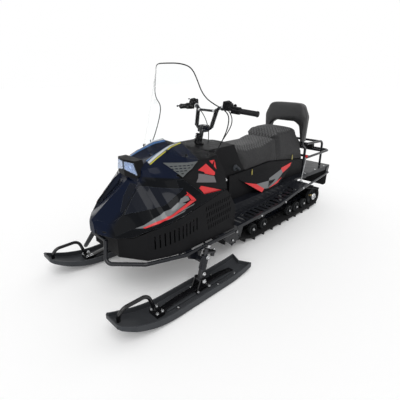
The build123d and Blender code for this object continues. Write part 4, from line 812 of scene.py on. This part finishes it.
# the plates' edges are painted pale: a painted highlight
painted_edge_highlight = plate_gloss.edges(0.0015)
plate_gloss.set("Base Color", plate_gloss.mix(painted_edge_highlight, (0.0035, 0.005, 0.010), (0.16, 0.18, 0.21)))
plate_gloss.set("Roughness", plate_gloss.steps(plate_gloss.cloud(8.0), 0.3, 0.7, 0.14, 0.24))
plate_gloss.set("Normal", plate_gloss.softened(0.0015))
films("hood_side_plates", nodes["hood"], [
    [(0.924, 0.692), (0.750, 0.688), (0.878, 0.601), (1.048, 0.560), (0.990, 0.628)],
], plate_gloss, "hood", lift=0.0024)

chrome = Finish("reflector", base_color=(0.42, 0.50, 0.66), metallic=1.0)
chrome.set("Roughness", chrome.steps(chrome.cloud(60.0), 0.3, 0.7, 0.10, 0.22))
chrome.relief(chrome.maths("SINE", chrome.along("Y") * 900), 0.0006, 0.0006, 0.5)
lamp_white = Finish("lamp_bulb", base_color=(0.60, 0.70, 0.90), roughness=0.25, emission_strength=0.15)
lamp_glow = lamp_white.mix(lamp_white.cloud(60.0), (0.54, 0.68, 0.92), (0.68, 0.82, 1.0))
lamp_white.set("Emission Color", lamp_glow)
cover = Finish("lamp_cover", base_color=(0.70, 0.80, 0.95), transmission_weight=0.85, coat_weight=0.5)
cover.set("IOR", 1.25)
cover.set("Roughness", cover.steps(cover.cloud(40.0), 0.3, 0.7, 0.02, 0.06))


def lamp_slice(node, far, near):
    """The part of a lens between two depths behind its front face, both ends closed."""
    shape = merged(nodes[node])
    shape.normal_update()
    front = max(shape.faces, key=lambda face: face.normal.x * face.calc_area())
    point, normal = front.calc_center_median(), front.normal.copy()
    for depth, outward in ((near, normal), (far, -normal)):
        cut_away(shape, point - normal * depth, outward)
    bmesh.ops.dissolve_limit(shape, angle_limit=0.01, verts=shape.verts, edges=shape.edges)
    bmesh.ops.recalc_face_normals(shape, faces=shape.faces)
    return shape, normal


for side_name in SIDES:
    node = f"headlight_{side_name}"
    glass = lamp_slice(node, 0.0035, 0.0)[0]
    glass_piece = piece(f"lamp_cover_{side_name}", glass, cover, "hood")
    bowl, outward = lamp_slice(node, 0.0155, 0.0045)
    front_face = max(bowl.faces, key=lambda face: face.normal.dot(outward) * face.calc_area())
    middle = front_face.calc_center_median().copy()
    for inset, sink in ((0.004, 0.0), (0.006, 0.004), (0.008, 0.004)):
        bmesh.ops.inset_individual(bowl, faces=[front_face], thickness=inset, use_even_offset=True)
        for vert in front_face.verts:
            vert.co -= outward * sink
    bowl_piece = piece(f"reflector_{side_name}", bowl, chrome, "hood")
    bulb = bmesh.new()
    bmesh.ops.create_uvsphere(bulb, u_segments=20, v_segments=12, radius=0.011)
    bulb_place = Matrix.Translation(middle - outward * 0.006) @ Matrix.Diagonal((0.45, 1.0, 1.0, 1.0))
    bmesh.ops.transform(bulb, matrix=bulb_place, verts=bulb.verts)
    piece(f"bulb_{side_name}", bulb, lamp_white, "hood")
    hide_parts(node)
    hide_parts(node)

# ---------------------------------------------------------------- windshield's edge and foot
edge_rubber = moulded("edge_rubber", (0.010, 0.011, 0.012), (0.05, 0.05, 0.05), 500.0, 0.0002, 0.45)
SCREEN_EDGE = [
    (0.308, 0.838), (0.318, 0.868), (0.328, 0.923), (0.335, 0.981), (0.335, 1.036), (0.329, 1.070),
    (0.312, 1.100), (0.284, 1.125), (0.256, 1.153), (0.236, 1.182), (0.219, 1.216), (0.202, 1.260),
    (0.180, 1.308), (0.162, 1.331), (0.138, 1.346), (0.090, 1.356),
]
SCREEN_X, SCREEN_FOOT_Z = 0.751, 0.780
SCREEN_LEAN = 0.277       # metres back for each metre up
BEAD_RADIUS = 0.0036
BEAD_OUT = 0.0015         # how far the bead's middle stands out from the sheet's edge


def screen_spot(y, z):
    """A place in the middle of the windshield's sheet, which bows back at its sides and leans back."""
    bow = 0.00081 * (abs(y) * 1000.0) ** 2.2 / 1000.0
    return (SCREEN_X - bow - SCREEN_LEAN * (z - SCREEN_FOOT_Z), y, z)


screen_route = [screen_spot(y + BEAD_OUT, z) for y, z in SCREEN_EDGE]
screen_route += [screen_spot(0.03, 1.357), screen_spot(-0.03, 1.357)]
screen_route += [screen_spot(-y - BEAD_OUT, z) for y, z in reversed(SCREEN_EDGE)]
bead = drawn_line("windshield_bead", screen_route, BEAD_RADIUS, CORD_FINENESS)
scene.collection.objects.link(bead)
settle(bead, edge_rubber, "hood")
screw_shapes = []
for side in SIDES.values():
    for y, z in ((0.292, 0.842), (0.215, 0.842), (0.12, 0.862)):
        spot = Vector(screen_spot(side * y, z)) + Vector((0.003, 0.0, 0.0))
        screw_shapes.append(bolt(spot, (0.96, 0.25 * side * y / 0.3, 0.2), 0.012, 0.3))
piece("windshield_screws", together(*screw_shapes), edge_rubber, "hood")

# ---------------------------------------------------------------- handlebar
bar_rubber = moulded("bar_sleeve", (0.012, 0.012, 0.013), (0.045, 0.045, 0.047), 700.0, 0.0003, 0.6)
bright = metal("bright_zinc", (0.62, 0.63, 0.64), (0.40, 0.40, 0.41), 0.22, (1.0, 0.05, 1.0))
black_knob = moulded("black_nylon", (0.010, 0.010, 0.011), (0.04, 0.04, 0.042), 600.0, 0.0003, 0.48)


def ribbed(start, end, low, high, pitch, steps=20):
    """A sleeve with rounded ribs along its length, closed at both ends."""
    length = (Vector(end) - Vector(start)).length
    count = max(2, round(length / pitch))
    profile = [(0.0, 0.0), (0.0, low)]
    for number in range(count):
        base = length * number / count
        rib = ((0.2, low), (0.35, high), (0.7, high), (0.85, low))
        profile += [(base + length / count * share, radius) for share, radius in rib]
    return turned(profile + [(length, low), (length, 0.0)], start, end, steps)


shapes = []
for side in SIDES.values():
    foot, top = (0.2655, side * 0.0725, 0.950), (0.2285, side * 0.0920, 1.072)
    shapes.append(ribbed(foot, top, 0.0125, 0.0155, 0.009))
piece("riser_sleeves", together(*shapes), bar_rubber, "handlebar")
shapes = [turned(
    [(0.0, 0.0), (0.0, 0.0105), (0.012, 0.0105), (0.013, 0.0082),
     (0.147, 0.0082), (0.148, 0.0105), (0.160, 0.0105), (0.160, 0.0)],
    (0.2345, -0.080, 1.059), (0.2345, 0.080, 1.059),
)]
for side in SIDES.values():
    shapes.append(bolt((0.246, side * 0.072, 1.059), (1.0, 0.0, 0.2), 0.012))
piece("cross_bar_cover", together(*shapes), bright, "handlebar")
for side_name, side in SIDES.items():
    inner = Vector((0.1825, side * 0.2520, 1.0680))
    outer = Vector((0.1470, side * 0.3720, 1.0550))
    aim = (outer - inner).normalized()
    grip = ribbed(inner + aim * 0.008, outer - aim * 0.004, 0.0168, 0.0182, 0.0065)
    cap = turned(
        [(0.0, 0.0), (0.0, 0.0195), (0.004, 0.0205), (0.008, 0.019), (0.011, 0.012), (0.012, 0.0)],
        outer - aim * 0.006, outer + aim,
    )
    flange = turned(
        [(0.0, 0.0), (0.0, 0.0215), (0.003, 0.0225), (0.006, 0.0215), (0.008, 0.0175), (0.008, 0.0)],
        inner, outer,
    )
    grip = together(grip, cap, flange)
    piece(f"grip_cover_{side_name}", grip, finishes["grip_rubber"], "handlebar")


def lever(route, radius, tip):
    """A bent lever with a ball at its free end."""
    ball = bmesh.new()
    bmesh.ops.create_uvsphere(ball, u_segments=12, v_segments=8, radius=tip)
    bmesh.ops.translate(ball, vec=route[-1], verts=ball.verts)
    return together(solid_line("lever", route, radius), ball)


for side_name, side in SIDES.items():
    buttons = []
    for place in range(3):
        spot = (0.196 + 0.012 * place, side * (0.165 + 0.018 * place), 1.124)
        buttons.append(block((0.010, 0.014, 0.006), spot, (0, 12, 0), 0.0015))
    buttons.append(turned(
        [(0.0, 0.0), (0.0, 0.011), (0.010, 0.010), (0.012, 0.006), (0.012, 0.0)],
        (0.160, side * 0.190, 1.095), (0.150, side * 0.190, 1.099), 16,
    ))
    piece(f"switches_{side_name}", together(*buttons), black_knob, "handlebar")
    housing = [block((0.050, 0.060, 0.044), (0.202, side * 0.168, 1.092), (0, 8, side * 12), 0.008)]
    housing.append(turned(
        [(0.0, 0.0), (0.0, 0.019), (0.014, 0.019), (0.016, 0.017), (0.016, 0.0)],
        (0.208, side * 0.168, 1.112), (0.212, side * 0.168, 1.130), 20,
    ))
    piece(f"lever_housing_{side_name}", together(*housing), black_knob, "handlebar")
    route = [
        (0.222, side * 0.190, 1.088), (0.238, side * 0.225, 1.082), (0.226, side * 0.290, 1.070),
        (0.205, side * 0.352, 1.062),
    ]
    piece(f"lever_{side_name}", lever(route, 0.0048, 0.0075), black_knob, "handlebar")
    clamp = turned(
        [(0.0, 0.0), (0.0, 0.0165), (0.003, 0.0175), (0.013, 0.0175), (0.016, 0.0165), (0.016, 0.0)],
        (0.2165, side * 0.1205, 1.0815), (0.213, side * 0.136, 1.0798), 20,
    )
    piece(f"bar_clamp_{side_name}", clamp, bright, "handlebar")


def hose(name, route, radius):
    """A control cable from the bar to the body, fixed in place; it follows neither as the bar turns."""
    shape = solid_line(name, route, radius, CORD_FINENESS)
    run = piece(name, shape, edge_rubber, None)
    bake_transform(run)


hose(
    "brake_cable",
    [(0.200, 0.150, 1.080), (0.166, 0.158, 1.050), (0.128, 0.150, 0.985), (0.138, 0.118, 0.905),
     (0.190, 0.088, 0.826)],
    0.0034,
)
hose(
    "throttle_cable",
    [(0.205, -0.150, 1.080), (0.196, -0.100, 1.050), (0.200, -0.040, 0.985), (0.230, 0.020, 0.905),
     (0.262, 0.040, 0.830)],
    0.0030,
)
post_boot = ribbed((0.330, 0.0, 0.838), (0.306, 0.0, 0.905), 0.021, 0.028, 0.012, 28)
piece("steering_boot", post_boot, bar_rubber, "handlebar")

# ---------------------------------------------------------------- fastenings and small parts
DRIVE_PLATE_BOLTS = ((0.160, 0.278), (0.305, 0.285), (0.210, 0.205), (0.325, 0.225), (0.255, 0.150))
SKID_AXLE_BOLTS = (-0.108, -0.261, -0.671, -0.803, -0.939)
RUNNING_BOARD_BOLTS = ((0.040, 0.312), (-0.285, 0.330), (-0.555, 0.384))
DECK_BOLTS = (-0.86, -1.05, -1.24)
DRIVE_PLATE_Y, AXLE_END_Y, BOARD_EDGE_Y = 0.2995, 0.2225, 0.393
BOGIE_Z, DECK_TOP_Z = 0.083, 0.4152
body_bolts = []
for side in SIDES.values():
    body_bolts += [bolt((x, side * DRIVE_PLATE_Y, z), (0, side, 0), 0.012) for x, z in DRIVE_PLATE_BOLTS]
    body_bolts += [bolt((x, side * AXLE_END_Y, BOGIE_Z), (0, side, 0), 0.016) for x in SKID_AXLE_BOLTS]
    body_bolts += [bolt((x, side * BOARD_EDGE_Y, z), (0, side, 0), 0.011) for x, z in RUNNING_BOARD_BOLTS]
    body_bolts += [bolt((x, side * 0.235, DECK_TOP_Z), (0, 0, 1), 0.012) for x in DECK_BOLTS]
    body_bolts.append(bolt((0.212, side * 0.1757, 0.582), (0, side, 0), 0.016))
piece("body_bolts", together(*body_bolts), bright, "chassis")

IDLER_X, IDLER_Z = -1.095, 0.119
hub_shapes = []
brass_shapes = []
for side in SIDES.values():
    hub_shapes.append(turned(
        [(0.0, 0.0), (0.0, 0.034), (0.004, 0.035), (0.008, 0.033),
         (0.009, 0.020), (0.013, 0.019), (0.013, 0.0)],
        (IDLER_X, side * 0.2335, IDLER_Z), (IDLER_X, side * 0.30, IDLER_Z), 28,
    ))
    hub_shapes.append(bolt((IDLER_X, side * 0.2465, IDLER_Z), (0, side, 0), 0.022))
    brass_shapes.append(turned(
        [(0.0, 0.0), (0.0, 0.006), (0.030, 0.006), (0.030, 0.009), (0.042, 0.009), (0.043, 0.0)],
        (-1.040, side * 0.240, 0.150), (-1.010, side * 0.240, 0.158), 12,
    ))
brass = metal("brass", (0.45, 0.33, 0.12), (0.28, 0.2, 0.08), 0.3, (1.0, 1.0, 1.0))
piece("idler_caps", together(*hub_shapes), bright, "chassis")
piece("track_adjusters", together(*brass_shapes), brass, "chassis")

tag_finish = printed("tag_yellow", (0.42, 0.36, 0.08), 0.4)
TAG_Y = 0.1955
tags = []
for x, z in ((-0.073, 0.590), (-0.660, 0.606)):
    for side in SIDES.values():
        tags.append(block((0.011, 0.003, 0.030), (x, side * TAG_Y, z - 0.012), (0, 4, 0), 0.001))
        tags.append(block((0.006, 0.004, 0.012), (x, side * TAG_Y, z + 0.010), (0, 0, 0), 0.001))
piece("lift_tags", together(*tags), tag_finish, "chassis")

handle = together(
    turned(
        [(0.0, 0.0), (0.0, 0.024), (0.003, 0.025), (0.006, 0.022), (0.010, 0.010), (0.030, 0.008),
         (0.030, 0.0)],
        (0.112, 0.1752, 0.652), (0.112, 0.26, 0.652), 20,
    ),
    turned(
        [(0.0, 0.0), (0.0, 0.006), (0.006, 0.0095), (0.036, 0.0095), (0.042, 0.006), (0.042, 0.0)],
        (0.129, 0.209, 0.666), (0.096, 0.209, 0.638), 16,
    ),
)
slate_nylon = moulded("slate_nylon", (0.03, 0.034, 0.04), (0.10, 0.105, 0.11), 600.0, 0.0002, 0.4)
piece("starter_handle", handle, slate_nylon, "chassis")

red_plastic = moulded("red_plastic", (0.42, 0.012, 0.014), (0.6, 0.05, 0.05), 500.0, 0.0002, 0.35)
caps = []
for side in SIDES.values():
    caps.append(turned(
        [(0.0, 0.0), (0.0, 0.012), (0.010, 0.0125), (0.020, 0.010), (0.024, 0.0)],
        (-0.853, side * 0.230, 0.572), (-0.853, side * 0.230, 0.60), 16,
    ))
piece("rack_end_caps", together(*caps), red_plastic, "chassis")
low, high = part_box("tail_lamp")
lens_size = (0.006, high.y - low.y - 0.012, high.z - low.z - 0.010)
lens_shape = block(lens_size, (low.x - 0.0032, 0.0, (low.z + high.z) / 2), (0, 0, 0), 0.0025)
piece("tail_lens", lens_shape, red_plastic, "chassis")

# ---------------------------------------------------------------- skis and spindles
dark_steel = metal("dark_steel", (0.050, 0.051, 0.055), (0.025, 0.025, 0.026), 0.34, (1.0, 0.1, 1.0), 0.85)
for node in ("spindle_left", "spindle_right", "tie_rod_left", "tie_rod_right"):
    for holder in nodes[node].material_slots:
        holder.material = dark_steel.material


LEAF_MIDDLE_X, LEAF_LENGTH = 0.7175, 0.615


def leaf(y):
    """The sprung flat bar that carries the saddle along the ski."""
    shape = block((LEAF_LENGTH, 0.040, 0.006), (LEAF_MIDDLE_X, y, 0.0), (0, 0, 0), 0.0012)
    cuts = [edge for edge in shape.edges if abs(edge.verts[0].co.x - edge.verts[1].co.x) > 0.5]
    bmesh.ops.subdivide_edges(shape, edges=cuts, cuts=24, use_grid_fill=True)
    for vert in shape.verts:
        far = abs(vert.co.x - PIVOT_X) / 0.31
        vert.co.z += 0.0465 + 0.010 * math.sin(min(1.0, far) * math.pi) - 0.006 * far * far
        if vert.co.x < 0.62:
            vert.co.z -= 0.010 * min(1.0, (0.62 - vert.co.x) / 0.2)
    return shape


UP_KING_PIN = (-0.28, 0, 0.96)
PAIRED_BOLTS = (      # x, distance from the ski's middle line, z
    (1.034, 0.027, 0.0575), (1.070, 0.027, 0.0575), (0.664, 0.034, 0.0405), (0.760, 0.034, 0.0405),
)
SINGLE_BOLTS = (
    (0.930, 0.040, 0.0285), (0.820, -0.040, 0.0285), (0.600, 0.052, 0.0285), (0.560, -0.052, 0.0285),
    (0.420, 0.040, 0.0215),
)
for side_name, side in SIDES.items():
    y = side * SKI_Y
    body = f"ski_{side_name}"
    piece(f"ski_leaf_{side_name}", leaf(y), finishes["ski_steel"], body, 25.0)
    fixings = []
    for way in (1.0, -1.0):
        fixings += [bolt((x, y + way * spread, z), (0, 0, 1), 0.015, 0.6) for x, spread, z in PAIRED_BOLTS]
    fixings += [bolt((x, y + spread, z), (0, 0, 1), 0.013, 0.5) for x, spread, z in SINGLE_BOLTS]
    for way in (1.0, -1.0):
        fixings.append(bolt((PIVOT_X, y + way * 0.038, PIVOT_Z), (0, way, 0), 0.022))
    piece(f"ski_fixings_{side_name}", together(*fixings), bright, body)
    joints = [
        bolt((0.640, y, 0.2975), UP_KING_PIN, 0.026, 0.55),
        bolt((0.592, y + side * 0.004, 0.266), UP_KING_PIN, 0.013, 0.5),
        bolt((0.668, y + side * 0.024, 0.245), (0, side, 0), 0.018, 0.6),
        bolt((0.700, y + side * 0.024, 0.140), (0, side, 0), 0.018, 0.6),
    ]
    piece(f"spindle_bolts_{side_name}", together(*joints), bright, f"spindle_{side_name}")

# ---------------------------------------------------------------- seat base sides
SKIRT_INNER_Y, SKIRT_TOP_Y, SKIRT_FOOT_Y, SKIRT_FOOT_Z = 0.1921, 0.1925, 0.2590, 0.4160


def skirt(side):
    """The moulded side of the seat base, which spreads out at its foot to the tunnel's width."""
    shape = block((0.900, 0.071, 0.150), (-0.300, side * 0.2275, 0.4915), (0, 0, 0), 0.0)
    for vert in shape.verts:
        upper, outer = vert.co.z > 0.49, abs(vert.co.y) > 0.22
        if not upper:
            vert.co.z = SKIRT_FOOT_Z
        reach = SKIRT_TOP_Y if upper else SKIRT_FOOT_Y
        vert.co.y = side * (reach if outer else SKIRT_INNER_Y)
    cut_away(shape, (-0.133, 0.0, 0.4168), (0.548, 0.0, -0.836), near=0.0001)
    cut_away(shape, (-0.365, 0.0, 0.4190), (-0.38, 0.0, -0.925), near=0.0001)
    bmesh.ops.recalc_face_normals(shape, faces=shape.faces)
    return shape


skirts = together(skirt(1.0), skirt(-1.0))
rounded(skirts, 0.003)
base_sides = piece("seat_base_sides", skirts, finishes["matt_plastic"], "chassis")
SWOOSH_RED = [
    [(0.035, 0.527), (-0.096, 0.488), (-0.172, 0.437), (-0.133, 0.4175)],
    [(-0.133, 0.4175), (-0.218, 0.425), (-0.451, 0.471), (-0.365, 0.440)],
    [(-0.471, 0.539), (-0.650, 0.556), (-0.610, 0.530), (-0.480, 0.500)],
]
SWOOSH_GREY = [
    [(-0.096, 0.488), (-0.356, 0.474), (-0.220, 0.429), (-0.172, 0.437)],
    [(-0.275, 0.496), (-0.600, 0.552), (-0.544, 0.526), (-0.360, 0.452), (-0.220, 0.429)],
]
films("seat_red_film", base_sides, SWOOSH_RED, red_film, "chassis", lift=0.0009)
films("seat_grey_film", base_sides, SWOOSH_GREY, grey_film, "chassis")
